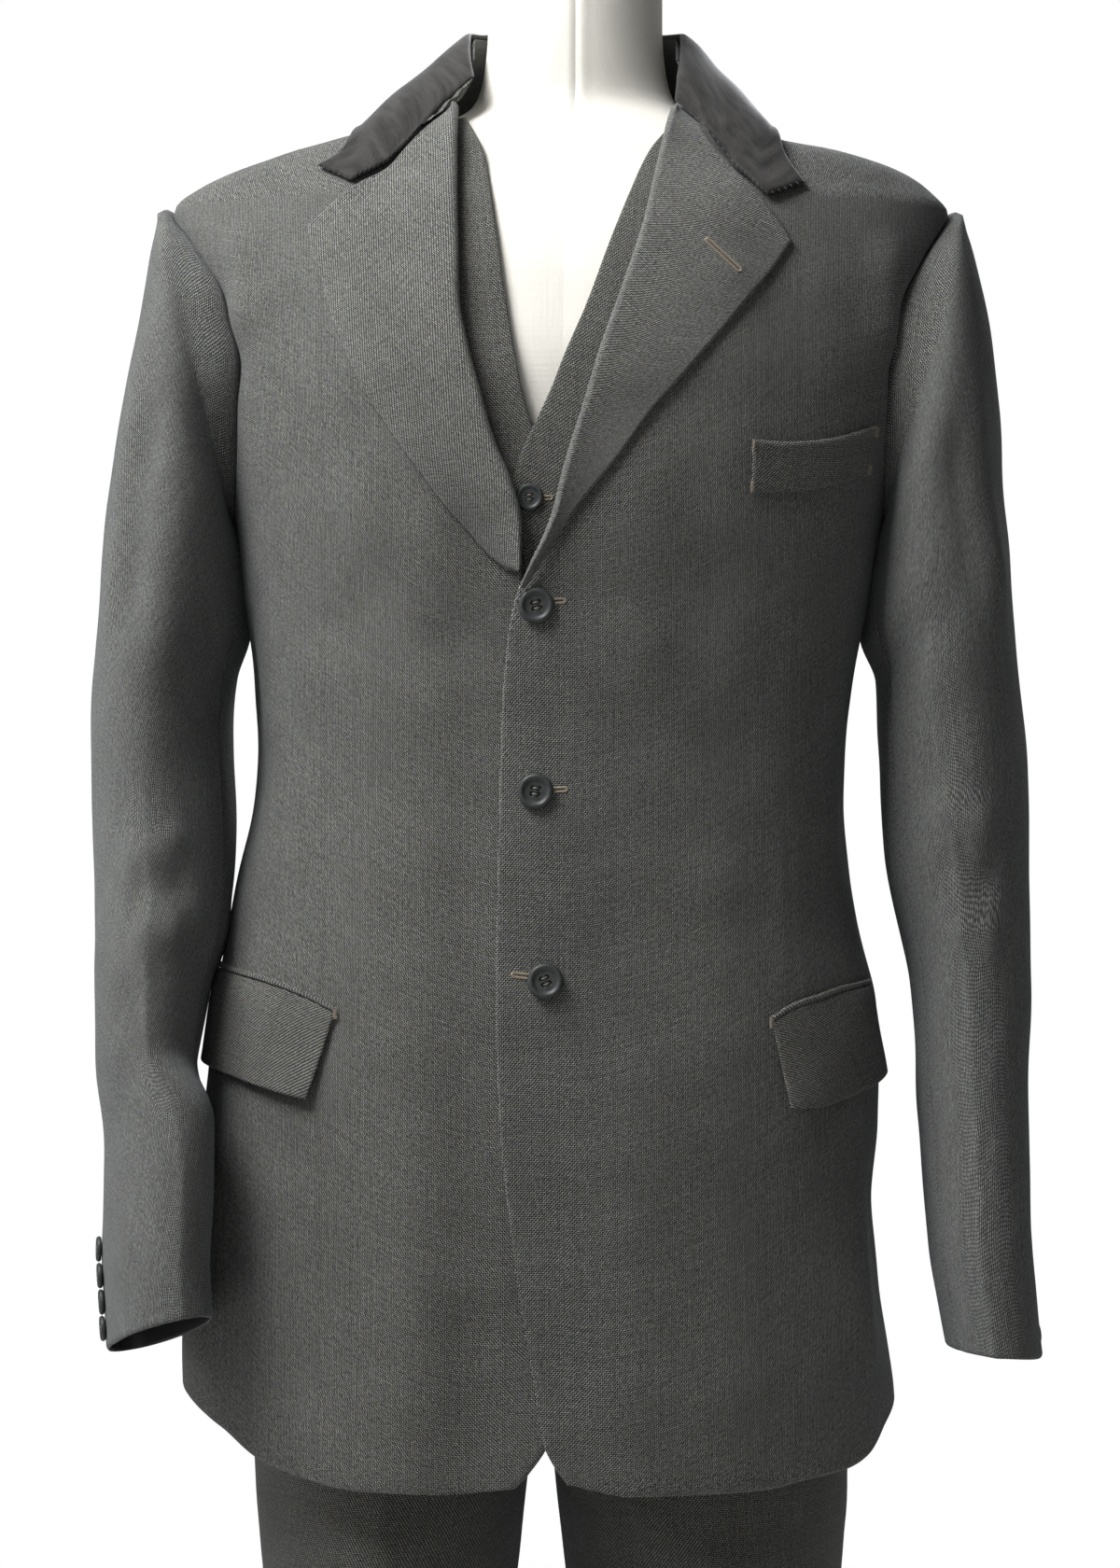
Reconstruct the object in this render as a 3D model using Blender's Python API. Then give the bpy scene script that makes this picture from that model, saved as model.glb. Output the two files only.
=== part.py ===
"""Three-piece suit on a linen dress form: jacket, waistcoat and trousers, each cut piece its own wall.

Metres, +Z up. The origin is on the floor under the middle of the stand's base. The suit faces -Y and
the wearer's left is +X. Every cloth piece is a thin wall through sections that are worked out from
the tables below, and pieces that meet at a seam end a seam gap apart.
"""
import math

import bpy
import bmesh
from mathutils import Matrix, Vector

# ---- driving dimensions, metres and degrees ---------------------------------------------------
SEAM = 0.0003            # gap between pieces that are sewn edge to edge
LAID = 0.0007            # gap under a piece that lies on another
COAT_CLOTH = 0.0018      # jacket cloth with its interlining
VEST_CLOTH = 0.0014
TROUSER_CLOTH = 0.0014
LAPEL_CLOTH = 0.0022     # lapel: cloth, canvas and facing
VELVET_CLOTH = 0.0026    # velvet collar
POCKET_CLOTH = 0.0016

TROUSER_HEM = 0.035
WAISTBAND = (1.0190, 1.0540)    # lower and upper edge
FORM_FOOT = 0.865        # lower edge of the linen form
NECK_TOP = 1.590         # top of the neck, under its cap

BASE_RADIUS = 0.190
BASE_HEIGHT = 0.014
POLE_RADIUS = 0.0125
POLE_X = 0.088           # the pole runs down inside the wearer's left trouser leg
POLE_Y = 0.005

COAT_BUTTON = 0.0200     # diameters
VEST_BUTTON = 0.0155
CUFF_BUTTON = 0.0145

# The jacket's outer sections: a closed section is two half super-ellipses, front and back.
COAT_SECTIONS = (
    # height, half width, front depth, back depth, middle x, squareness
    (0.690, 0.2108, 0.1360, 0.1400, -0.012, 2.35),
    (0.745, 0.2095, 0.1350, 0.1395, -0.013, 2.35),
    (0.800, 0.2050, 0.1330, 0.1380, -0.0155, 2.35),
    (0.850, 0.2022, 0.1310, 0.1360, -0.0165, 2.35),
    (0.900, 0.2000, 0.1290, 0.1330, -0.0115, 2.35),
    (0.970, 0.1955, 0.1250, 0.1240, -0.009, 2.35),
    (1.020, 0.1845, 0.1210, 0.1120, -0.009, 2.35),
    (1.108, 0.1735, 0.1180, 0.1030, -0.005, 2.30),
    (1.152, 0.1770, 0.1190, 0.1050, -0.004, 2.30),
    (1.200, 0.1835, 0.1210, 0.1110, -0.002, 2.30),
    (1.260, 0.1930, 0.1240, 0.1190, 0.000, 2.30),
    (1.320, 0.2060, 0.1220, 0.1260, 0.001, 2.30),
    (1.370, 0.2170, 0.1120, 0.1240, 0.002, 2.25),
    (1.410, 0.2260, 0.0980, 0.1160, 0.002, 2.20),
    (1.434, 0.2285, 0.0860, 0.1080, 0.002, 2.15),
    (1.446, 0.2200, 0.0780, 0.1030, 0.002, 2.10),
    (1.457, 0.2030, 0.0720, 0.0990, 0.002, 2.10),
    (1.468, 0.1750, 0.0670, 0.0940, 0.003, 2.10),
    (1.479, 0.1250, 0.0600, 0.0880, 0.004, 2.10),
    (1.490, 0.0930, 0.0520, 0.0840, 0.006, 2.10),
    (1.500, 0.0760, 0.0460, 0.0800, 0.008, 2.10),
    (1.512, 0.0690, 0.0420, 0.0765, 0.009, 2.10),
    (1.525, 0.0650, 0.0400, 0.0720, 0.009, 2.10),
)

# How far the waistcoat and the form lie inside the jacket's outer side.
LAYER_DEPTHS = (
    # height, waistcoat, form
    (0.850, 0.0104, 0.0300),
    (0.960, 0.0104, 0.0230),
    (1.015, 0.0104, 0.0182),
    (1.030, 0.0104, 0.0170),
    (1.055, 0.0104, 0.0170),
    (1.110, 0.0104, 0.0176),
    (1.200, 0.0104, 0.0190),
    (1.280, 0.0096, 0.0170),
    (1.350, 0.0070, 0.0132),
    (1.400, 0.0048, 0.0094),
    (1.440, 0.0036, 0.0073),
    (1.500, 0.0036, 0.0084),
)
WAISTBAND_DEPTH = 0.0147

# Front edges as seen from the front: below the break they are cut edges, above it roll lines.
LEFT_EDGE = (
    # height, x
    (0.7120, 0.0040), (0.7200, -0.0020), (0.7340, -0.0090), (0.7670, -0.0145), (0.8080, -0.0215),
    (0.8600, -0.0285), (0.9110, -0.0335), (0.9740, -0.0356), (1.0730, -0.0340), (1.1220, -0.0330),
    (1.1710, -0.0300), (1.2000, -0.0250), (1.2180, -0.0175), (1.2310, -0.0113), (1.2470, -0.0052),
    (1.2720, 0.0010), (1.3140, 0.0140), (1.3360, 0.0205), (1.3760, 0.0345), (1.4100, 0.0455),
    (1.4400, 0.0525), (1.4700, 0.0590), (1.4980, 0.0660),
)
RIGHT_EDGE = (
    (0.7090, -0.0245), (0.7150, -0.0190), (0.7340, -0.0060), (0.7670, 0.0050), (0.8080, 0.0140),
    (0.8600, 0.0215), (0.9740, 0.0270), (1.1000, 0.0260), (1.1500, 0.0200), (1.1750, 0.0080),
    (1.1950, -0.0100), (1.2100, -0.0210), (1.2420, -0.0205), (1.2620, -0.0250), (1.2880, -0.0356),
    (1.3200, -0.0445), (1.3420, -0.0505), (1.3670, -0.0550), (1.4100, -0.0563), (1.4350, -0.0572),
    (1.4700, -0.0575), (1.4980, -0.0560),
)
# Outer outline of each lapel, from the break up round the point to the top of the gorge.
LEFT_LAPEL = (
    # height, x
    (1.2060, -0.0190), (1.2230, -0.0075), (1.2365, 0.0010), (1.2516, 0.0110), (1.2764, 0.0311),
    (1.3054, 0.0521), (1.3245, 0.0690), (1.3500, 0.0905), (1.3706, 0.1070), (1.3844, 0.1183),
    (1.4038, 0.1311), (1.4254, 0.1160), (1.4345, 0.1085), (1.4460, 0.0980), (1.4606, 0.0870),
    (1.4760, 0.0775), (1.4860, 0.0665),
)
RIGHT_LAPEL = (
    (1.2150, -0.0290), (1.2228, -0.0387), (1.2365, -0.0505), (1.2527, -0.0645), (1.2718, -0.0785),
    (1.2880, -0.0900), (1.3014, -0.0990), (1.3230, -0.1115), (1.3517, -0.1243), (1.3796, -0.1335),
    (1.3956, -0.1390), (1.4128, -0.1428), (1.4346, -0.1177), (1.4482, -0.0974), (1.4590, -0.0890),
    (1.4690, -0.0800), (1.4777, -0.0703), (1.4860, -0.0610),
)
HEM_RISE = {
    # share of the way from the front edge to the side seam, height
    "left": (
        (0.00, 0.7120), (0.08, 0.7050), (0.29, 0.7047), (0.36, 0.7075), (0.48, 0.7100), (0.56, 0.7150),
        (0.66, 0.7280), (0.75, 0.7340), (1.00, 0.7400),
    ),
    "right": (
        (0.00, 0.7090), (0.08, 0.7055), (0.20, 0.7060), (0.30, 0.7103), (0.41, 0.7186), (0.52, 0.7325),
        (0.72, 0.7447), (1.00, 0.7480),
    ),
}
BACK_HEM = {
    "left": ((0.00, 0.7400), (0.50, 0.7360), (1.00, 0.7340)),
    "right": ((0.00, 0.7480), (0.50, 0.7400), (1.00, 0.7340)),
}
OVERLAP_DEPTH = COAT_CLOTH + 0.0010     # how far the right front lies under the left one

# Armhole of the jacket, an ellipse seen from the side, and the same for the waistcoat.
COAT_ARMHOLE = {"height": 1.3395, "rise": 0.0945, "y": 0.0130, "run": 0.0745}
VEST_ARMHOLE = {"height": 1.3430, "rise": 0.1270, "y": 0.0080, "run": 0.0880}

SLEEVE_ROWS = {
    # middle x, middle y, middle z, tilt, half width, half depth, turn, pitch, back seam
    "left": (
        (0.2162, 0.0105, 1.3385, 77.3, 0.0986, 0.0775, 0.0, 0.0, 160.0),
        (0.2193, 0.0080, 1.3270, 74.1, 0.0943, 0.0800, 0.0, 0.0, 160.0),
        (0.2216, 0.0070, 1.2985, 67.9, 0.0827, 0.0850, 0.0, 0.0, 160.0),
        (0.2239, 0.0060, 1.2670, 60.0, 0.0727, 0.0860, 0.0, 0.0, 160.0),
        (0.2262, 0.0040, 1.2360, 52.0, 0.0637, 0.0855, 0.0, 0.0, 158.0),
        (0.2330, 0.0020, 1.1900, 40.0, 0.0500, 0.0840, 0.0, 0.0, 156.0),
        (0.2335, 0.0000, 1.1385, 20.0, 0.0430, 0.0820, 0.0, 0.0, 154.0),
        (0.2355, -0.006, 1.0620, 3.0, 0.0400, 0.0780, 0.0, 4.0, 150.0),
        (0.2405, -0.018, 0.9800, 0.0, 0.0322, 0.0720, 0.0, 10.0, 148.0),
        (0.2415, -0.036, 0.9000, -2.0, 0.0290, 0.0660, 0.0, 12.0, 144.0),
        (0.2460, -0.052, 0.8300, -4.0, 0.0265, 0.0610, 0.0, 10.0, 140.0),
        (0.2545, -0.060, 0.7720, -5.0, 0.0248, 0.0575, 0.0, 6.0, 138.0),
    ),
    "right": (
        (0.2168, 0.0105, 1.3390, 76.8, 0.0998, 0.0775, 0.0, 0.0, 160.0),
        (0.2190, 0.0080, 1.3270, 74.5, 0.0951, 0.0800, 0.0, 0.0, 160.0),
        (0.2219, 0.0070, 1.2985, 68.5, 0.0829, 0.0850, 0.0, 0.0, 160.0),
        (0.2258, 0.0060, 1.2675, 60.6, 0.0718, 0.0860, 0.0, 0.0, 160.0),
        (0.2293, 0.0040, 1.2365, 52.4, 0.0627, 0.0855, 0.0, 0.0, 158.0),
        (0.2367, 0.0020, 1.1900, 39.1, 0.0493, 0.0840, 0.0, 0.0, 156.0),
        (0.2398, 0.0000, 1.1385, 20.0, 0.0407, 0.0820, 0.0, 0.0, 154.0),
        (0.2380, -0.008, 1.0620, 3.0, 0.0396, 0.0780, 2.0, 5.0, 150.0),
        (0.2360, -0.024, 1.0150, 0.0, 0.0375, 0.0740, 4.0, 10.0, 150.0),
        (0.2392, -0.041, 0.9750, -2.0, 0.0312, 0.0700, 7.0, 15.0, 150.0),
        (0.2385, -0.057, 0.9350, -4.0, 0.0270, 0.0645, 9.0, 18.0, 150.0),
        (0.2275, -0.074, 0.8930, -5.0, 0.0268, 0.0610, 19.0, 20.0, 150.0),
        (0.2238, -0.088, 0.8480, -6.0, 0.0250, 0.0585, 23.0, 20.0, 150.0),
        (0.2222, -0.098, 0.7880, -6.0, 0.0245, 0.0560, 25.0, 18.0, 150.0),
    ),
}
FRONT_SLEEVE_SEAM = -65.0        # around the sleeve, 0 at its front, 90 at its outer side
HEAD_GAP = (0.0022, 0.0030)      # between armhole and sleeve along x, at the top and at the foot

# Velvet collar: its fold from the middle of the neck, and its outer edge around the jacket.
NECK_MIDDLE = (0.009, 0.008)
COLLAR_STATIONS = (
    # fold x, y, z,            edge turn, height, foot turn, bulge
    (0.0000, 0.0705, 1.5600, 180.0, 1.5060, 180.0, 0.0040),
    (0.0330, 0.0640, 1.5580, 155.0, 1.5030, 155.0, 0.0040),
    (0.0540, 0.0400, 1.5520, 125.0, 1.4950, 125.0, 0.0050),
    (0.0630, 0.0080, 1.5450, 92.0, 1.4815, 92.0, 0.0060),
    (0.0620, -0.0180, 1.5280, 51.0, 1.4725, 62.0, 0.0040),
    (0.0590, -0.0370, 1.5090, 38.0, 1.4580, 45.0, 0.0025),
)
STAND_END = 4.0          # station where the stand ends, in front of the shoulders
COLLAR_STEPS = 11        # stations of each half of the collar
COLLAR_LIFT = VELVET_CLOTH + 0.0019
COLLAR_ENDS = {
    # x and height along the gorge, from the fold's end to the notch, and then the outer corner
    "left": ((0.0650, 1.4905), (0.0787, 1.4768), (0.0992, 1.4468), (0.1165, 1.4290), (0.1395, 1.4385)),
    "right": ((-0.0575, 1.4910), (-0.0812, 1.4700), (-0.0982, 1.4502), (-0.1185, 1.4385),
              (-0.1385, 1.4500)),
}

# Waistcoat front edges, the wearer's left one on top.
VEST_LEFT_EDGE = (
    # height, x
    (0.9520, 0.0160), (0.9620, -0.0100), (0.9800, -0.0290), (1.0300, -0.0310), (1.2000, -0.0310),
    (1.2500, -0.0290), (1.2790, -0.0230), (1.2950, -0.0155), (1.3200, -0.0040), (1.3370, 0.0020),
    (1.3690, 0.0155), (1.3980, 0.0257), (1.4240, 0.0355), (1.4570, 0.0490), (1.4880, 0.0700),
)
VEST_RIGHT_EDGE = (
    (0.9520, -0.0380), (0.9620, -0.0120), (0.9800, 0.0070), (1.0300, 0.0090), (1.2000, 0.0090),
    (1.2500, 0.0050), (1.2750, -0.0060), (1.2950, -0.0150), (1.3170, -0.0213), (1.3360, -0.0250),
    (1.3740, -0.0311), (1.4055, -0.0353), (1.4340, -0.0394), (1.4570, -0.0430), (1.4880, -0.0560),
)
VEST_HEM = (
    # share of the way from the front edge to the side seam, height
    (0.00, 0.9520), (0.12, 0.9500), (0.50, 0.9850), (1.00, 1.0020),
)
VEST_OVERLAP_DEPTH = VEST_CLOTH + 0.0014

TROUSER_SECTIONS = (
    # height, middle x, inner, right outer, left outer, front depth, back depth, squareness
    (0.035, -0.011, 0.0500, 0.1480, 0.1540, 0.0830, 0.1030, 1.80),
    (0.250, -0.011, 0.0440, 0.1510, 0.1580, 0.0880, 0.1020, 1.80),
    (0.450, -0.011, 0.0340, 0.1560, 0.1660, 0.0940, 0.1030, 1.80),
    (0.600, -0.011, 0.0180, 0.1630, 0.1760, 0.0990, 0.1060, 1.85),
    (0.687, -0.011, 0.0080, 0.1680, 0.1810, 0.1020, 0.1090, 1.85),
    (0.745, -0.011, 0.0008, 0.1720, 0.1830, 0.1040, 0.1120, 1.90),
    (0.762, -0.011, -0.0100, 0.1740, 0.1830, 0.1050, 0.1140, 1.90),
    (0.790, -0.011, -0.0360, 0.1770, 0.1840, 0.1070, 0.1170, 2.00),
    (0.830, -0.011, -0.0850, 0.1800, 0.1840, 0.1090, 0.1190, 2.10),
    (0.880, -0.011, -0.1550, 0.1830, 0.1840, 0.1100, 0.1190, 2.25),
    (0.920, -0.010, -0.1830, 0.1830, 0.1830, 0.1100, 0.1160, 2.30),
    (0.970, -0.009, -0.1790, 0.1790, 0.1790, 0.1085, 0.1080, 2.35),
    (1.018, -0.009, -0.1698, 0.1698, 0.1698, 0.1062, 0.0975, 2.35),
)

NECK_ROWS = (
    # height, half width, front depth, back depth of the linen neck above the shoulders
    (1.500, 0.0600, 0.0480, 0.0590),
    (1.520, 0.0535, 0.0500, 0.0565),
    (1.545, 0.0515, 0.0520, 0.0560),
    (1.570, 0.0515, 0.0530, 0.0550),
    (NECK_TOP, 0.0510, 0.0530, 0.0545),
)
SHOULDER_END = 0.178     # the form's shoulders end here, with no arms
SHOULDER_ROUND = 0.026
SHOULDER_START = 1.200   # below this the form's rings are level
SOCKET_RADIUS = 0.032
SOCKET_HEIGHT = 0.0045

# Pocket pieces as seen from the front: (x, height) along the top edge and along the bottom edge.
FLAPS = {
    "left": (
        ((0.1790, 0.9800), (0.1618, 0.9785), (0.1458, 0.9745), (0.1305, 0.9705), (0.1175, 0.9635)),
        ((0.1850, 0.9285), (0.1740, 0.9230), (0.1567, 0.9180), (0.1400, 0.9150), (0.1265, 0.9160)),
    ),
    "right": (
        ((-0.1985, 0.9900), (-0.1831, 0.9875), (-0.1620, 0.9830), (-0.1407, 0.9760), (-0.1255, 0.9690)),
        ((-0.2030, 0.9360), (-0.1900, 0.9325), (-0.1720, 0.9275), (-0.1560, 0.9240), (-0.1400, 0.9205)),
    ),
}
JET_WIDTH = 0.0036
CHEST_WELT = (
    ((0.1068, 1.2890), (0.1230, 1.2885), (0.1400, 1.2900), (0.1580, 1.2940), (0.1790, 1.3020)),
    ((0.1060, 1.2592), (0.1230, 1.2600), (0.1400, 1.2625), (0.1560, 1.2665), (0.1740, 1.2735)),
)

COAT_BUTTON_SPOTS = ((-0.0130, 1.1960), (-0.0135, 1.0930), (-0.0080, 0.9880))
VEST_BUTTON_X = -0.0170
VEST_BUTTON_TOP = 1.2560
VEST_BUTTON_PITCH = 0.0510
VEST_BUTTONS = 6
CUFF_BUTTON_TOP = {"left": 0.8230, "right": 0.8330}
CUFF_BUTTON_PITCH = 0.0145
CUFF_BUTTONS = 4

SIDES = {"left": 1.0, "right": -1.0}


# ---- curves through short tables --------------------------------------------------------------
def curve(points, at):
    """Value of a smooth curve through (place, value) pairs that never overshoots them."""
    places = [point[0] for point in points]
    values = [point[1] for point in points]
    at = min(max(at, places[0]), places[-1])
    last = len(places) - 2
    step = 0
    while step < last and at > places[step + 1]:
        step += 1
    slopes = [(values[i + 1] - values[i]) / (places[i + 1] - places[i]) for i in range(last + 1)]

    def tangent(i):
        if i == 0:
            return slopes[0]
        if i > last:
            return slopes[last]
        before, after = slopes[i - 1], slopes[i]
        if before * after <= 0.0:
            return 0.0
        return 2.0 * before * after / (before + after)

    run = places[step + 1] - places[step]
    share = (at - places[step]) / run
    ahead = share - 1.0
    return (
        values[step] * (1.0 + 2.0 * share) * ahead * ahead
        + values[step + 1] * share * share * (3.0 - 2.0 * share)
        + run * share * ahead * (ahead * tangent(step) + share * tangent(step + 1))
    )


def column(rows, index, at):
    """One named column of a section table, read at any height."""
    return curve([(row[0], row[index]) for row in rows], at)


def ease(share):
    """Smooth step from 0 to 1."""
    share = min(max(share, 0.0), 1.0)
    return share * share * (3.0 - 2.0 * share)


def spread(low, high, count):
    """Evenly spaced values from low to high."""
    return [low + (high - low) * i / (count - 1) for i in range(count)]


# ---- the jacket's surface, which every layer is measured from ----------------------------------
def coat_section(height):
    """Half width, front depth, back depth, middle x and squareness of the jacket at a height."""
    return [column(COAT_SECTIONS, index, height) for index in range(1, 6)]


def coat_raw(side, turn, height):
    """Outer side of the jacket: turn is 0 at the front, 90 at the side, 180 at the back."""
    width, front, back, middle, square = coat_section(height)
    sine, cosine = math.sin(math.radians(turn)), math.cos(math.radians(turn))
    across = math.copysign(abs(sine) ** (2.0 / square), sine)
    along = abs(cosine) ** (2.0 / square)
    depth = -front * along if cosine > 0.0 else back * along
    return Vector((middle + side * width * across, depth, height))


def coat_normal(side, turn, height):
    """Direction straight out of the cloth."""
    around = coat_raw(side, turn + 0.5, height) - coat_raw(side, turn - 0.5, height)
    upward = coat_raw(side, turn, height + 0.001) - coat_raw(side, turn, height - 0.001)
    return side * around.cross(upward).normalized()


def coat_point(side, turn, height, depth=0.0):
    """A point the given depth inside the jacket's outer side; a negative depth is outside it."""
    return coat_raw(side, turn, height) - depth * coat_normal(side, turn, height)


def turn_at_x(side, x, height):
    """Where around the jacket a point seen from the front at x lies."""
    width, _, _, middle, square = coat_section(height)
    share = min(max(side * (x - middle) / width, -0.999), 0.999)
    return math.degrees(math.asin(math.copysign(abs(share) ** (square / 2.0), share)))


def turn_at_y(y, height):
    """Where around the jacket a point seen from the side at y lies."""
    _, front, back, _, square = coat_section(height)
    if y < 0.0:
        return math.degrees(math.acos(min(-y / front, 1.0) ** (square / 2.0)))
    return math.degrees(math.acos(-min(y / back, 1.0) ** (square / 2.0)))


def armhole_turn(armhole, height, edge):
    """Where a panel ends at the armhole; edge is -1 for the front panel and 1 for the back one."""
    share = (height - armhole["height"]) / armhole["rise"]
    run = armhole["run"] * math.sqrt(max(1.0 - share * share, 0.0))
    return turn_at_y(armhole["y"] + edge * run, height)


def side_seam(height, armhole):
    """The side seam drops from the foot of the armhole and drifts towards the back."""
    foot = armhole["height"] - armhole["rise"]
    start = turn_at_y(armhole["y"], foot)
    return start + (110.0 - start) * ease((foot - height) / 0.15)


def panel_end(height, armhole, edge):
    """Last turn of a front or back panel at a height."""
    top = armhole["height"] + armhole["rise"]
    if height >= top - 0.0001:
        return 90.0
    if height <= armhole["height"] - armhole["rise"] + 0.0001:
        return side_seam(height, armhole)
    return armhole_turn(armhole, height, edge)


def armhole_heights(armhole):
    """Rows of a panel beside its armhole, closer together at its foot and its top."""
    angles = (74.0, 53.0, 30.0, 6.0, -18.0, -42.0, -66.0, -90.0)
    return [armhole["height"] + armhole["rise"] * math.sin(math.radians(angle)) for angle in angles]


def tuck(side, x, height, depth):
    """How far the right front is pressed in where the left front lies on it."""
    if side > 0.0:
        return 0.0
    return depth * ease((x + 0.080) / 0.034) * (1.0 - ease((height - 1.235) / 0.040))


# ---- solids -----------------------------------------------------------------------------------
SUITING = ((0.075, 0.076, 0.080), 0.85)
VELVET = ((0.016, 0.015, 0.016), 0.95)
LINEN = ((0.72, 0.69, 0.64), 0.9)
HORN = ((0.05, 0.05, 0.055), 0.4)
IRON = ((0.03, 0.03, 0.03), 0.45)


def place(name, mesh, look, metallic=0.0):
    """Link a mesh as a named object with a material of its own."""
    colour, roughness = look
    material = bpy.data.materials.new(name + "_finish")
    material.use_nodes = True
    shader = material.node_tree.nodes["Principled BSDF"]
    shader.inputs["Base Color"].default_value = (*colour, 1.0)
    shader.inputs["Roughness"].default_value = roughness
    shader.inputs["Metallic"].default_value = metallic
    mesh.shade_smooth()
    mesh.set_sharp_from_angle(angle=math.radians(40.0))
    mesh.materials.append(material)
    piece = bpy.data.objects.new(name, mesh)
    bpy.context.scene.collection.objects.link(piece)
    return piece


def wall(name, rows, thickness, look=SUITING):
    """A closed cloth wall from rows of (outer point, direction straight out of the cloth)."""
    mesh = bpy.data.meshes.new(name)
    shell = bmesh.new()
    outer = [[shell.verts.new(point) for point, _ in row] for row in rows]
    inner = [[shell.verts.new(point - out * thickness) for point, out in row] for row in rows]
    last_row, last = len(rows) - 1, len(rows[0]) - 1
    for i in range(last_row):
        for j in range(last):
            shell.faces.new((outer[i][j], outer[i][j + 1], outer[i + 1][j + 1], outer[i + 1][j]))
            shell.faces.new((inner[i][j], inner[i + 1][j], inner[i + 1][j + 1], inner[i][j + 1]))
    rim = [(0, j) for j in range(last)] + [(i, last) for i in range(last_row)]
    rim += [(last_row, j) for j in range(last, 0, -1)] + [(i, 0) for i in range(last_row, 0, -1)]
    for (i, j), (k, m) in zip(rim, rim[1:] + rim[:1]):
        shell.faces.new((outer[i][j], inner[i][j], inner[k][m], outer[k][m]))
    bmesh.ops.recalc_face_normals(shell, faces=shell.faces[:])
    bmesh.ops.triangulate(shell, faces=shell.faces[:])
    shell.to_mesh(mesh)
    shell.free()
    return place(name, mesh, look)


def trim(rows, first=False, last=False, top=False):
    """Draw the named sides of a grid back from their seams by half a seam gap."""
    rows = [list(row) for row in rows]

    def pull(edge, neighbour):
        step = (neighbour[0] - edge[0]).normalized() * (SEAM / 2.0)
        return edge[0] + step, edge[1]

    for row in rows:
        if first:
            row[0] = pull(row[0], row[1])
        if last:
            row[-1] = pull(row[-1], row[-2])
    if top:
        rows[0] = [pull(edge, neighbour) for edge, neighbour in zip(rows[0], rows[1])]
    return rows


def with_normals(rows, away_from):
    """Pair each point of a grid with the direction out of the cloth, away from an inner point."""
    last_row, last = len(rows) - 1, len(rows[0]) - 1
    paired = []
    for i, row in enumerate(rows):
        line = []
        for j, point in enumerate(row):
            along = rows[i][min(j + 1, last)] - rows[i][max(j - 1, 0)]
            down = rows[min(i + 1, last_row)][j] - rows[max(i - 1, 0)][j]
            out = along.cross(down).normalized()
            if out.dot(point - away_from) < 0.0:
                out = -out
            line.append((point, out))
        paired.append(line)
    return paired


def turned(name, profile, spot, facing, look, segments, metallic=0.0):
    """A turned solid: (radius, height) pairs from the middle of its back round to its front."""
    mesh = bpy.data.meshes.new(name)
    shell = bmesh.new()
    rings = []
    for radius, height in profile:
        if radius <= 0.0:
            rings.append([shell.verts.new((0.0, 0.0, height))])
            continue
        angles = [2.0 * math.pi * i / segments for i in range(segments)]
        rings.append([
            shell.verts.new((radius * math.cos(angle), radius * math.sin(angle), height))
            for angle in angles
        ])
    for low, high in zip(rings, rings[1:]):
        for i in range(segments):
            after = (i + 1) % segments
            if len(low) == 1:
                shell.faces.new((low[0], high[after], high[i]))
            elif len(high) == 1:
                shell.faces.new((low[i], low[after], high[0]))
            else:
                shell.faces.new((low[i], low[after], high[after], high[i]))
    bmesh.ops.recalc_face_normals(shell, faces=shell.faces[:])
    aim = facing.to_track_quat("Z", "Y").to_matrix().to_4x4()
    bmesh.ops.transform(shell, matrix=Matrix.Translation(spot) @ aim, verts=shell.verts[:])
    shell.to_mesh(mesh)
    shell.free()
    return place(name, mesh, look, metallic)


def loft(name, rings, look):
    """A closed solid through rings of points, with flat ends."""
    mesh = bpy.data.meshes.new(name)
    shell = bmesh.new()
    loops = [[shell.verts.new(point) for point in ring] for ring in rings]
    for low, high in zip(loops, loops[1:]):
        for i in range(len(low)):
            after = (i + 1) % len(low)
            shell.faces.new((low[i], low[after], high[after], high[i]))
    shell.faces.new(loops[0])
    shell.faces.new(loops[-1])
    bmesh.ops.recalc_face_normals(shell, faces=shell.faces[:])
    shell.to_mesh(mesh)
    shell.free()
    return place(name, mesh, look)


# ---- jacket -----------------------------------------------------------------------------------
COAT_NECK = 1.4955       # side of the neckline
COAT_NAPE = 1.5220       # middle of the neckline at the back
SHOULDER_SHARES = (1.0, 0.8, 0.6, 0.4, 0.2, 0.0)
COAT_HEIGHTS = (1.205, 1.155, 1.108, 1.060, 1.015, 0.970, 0.915, 0.860, 0.800)
FRONT_COLUMNS = 14
BACK_COLUMNS = 10
TOP_SLEEVE_COLUMNS = 10
UNDER_SLEEVE_COLUMNS = 8


def coat_pair(side, turn, height, depth=0.0):
    """A point of the jacket's cloth and the direction straight out of it."""
    return coat_point(side, turn, height, depth), coat_normal(side, turn, height)


def coat_top():
    return COAT_ARMHOLE["height"] + COAT_ARMHOLE["rise"]


def hem_rows(hem, start_height, columns):
    """Two last rows of (share, height) that settle on a hem curve."""
    rows = []
    for drop in (0.5, 1.0):
        shares = spread(0.0, 1.0, columns)
        rows.append([
            (share, start_height + drop * (curve(hem, share) - start_height)) for share in shares
        ])
    return rows


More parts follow.
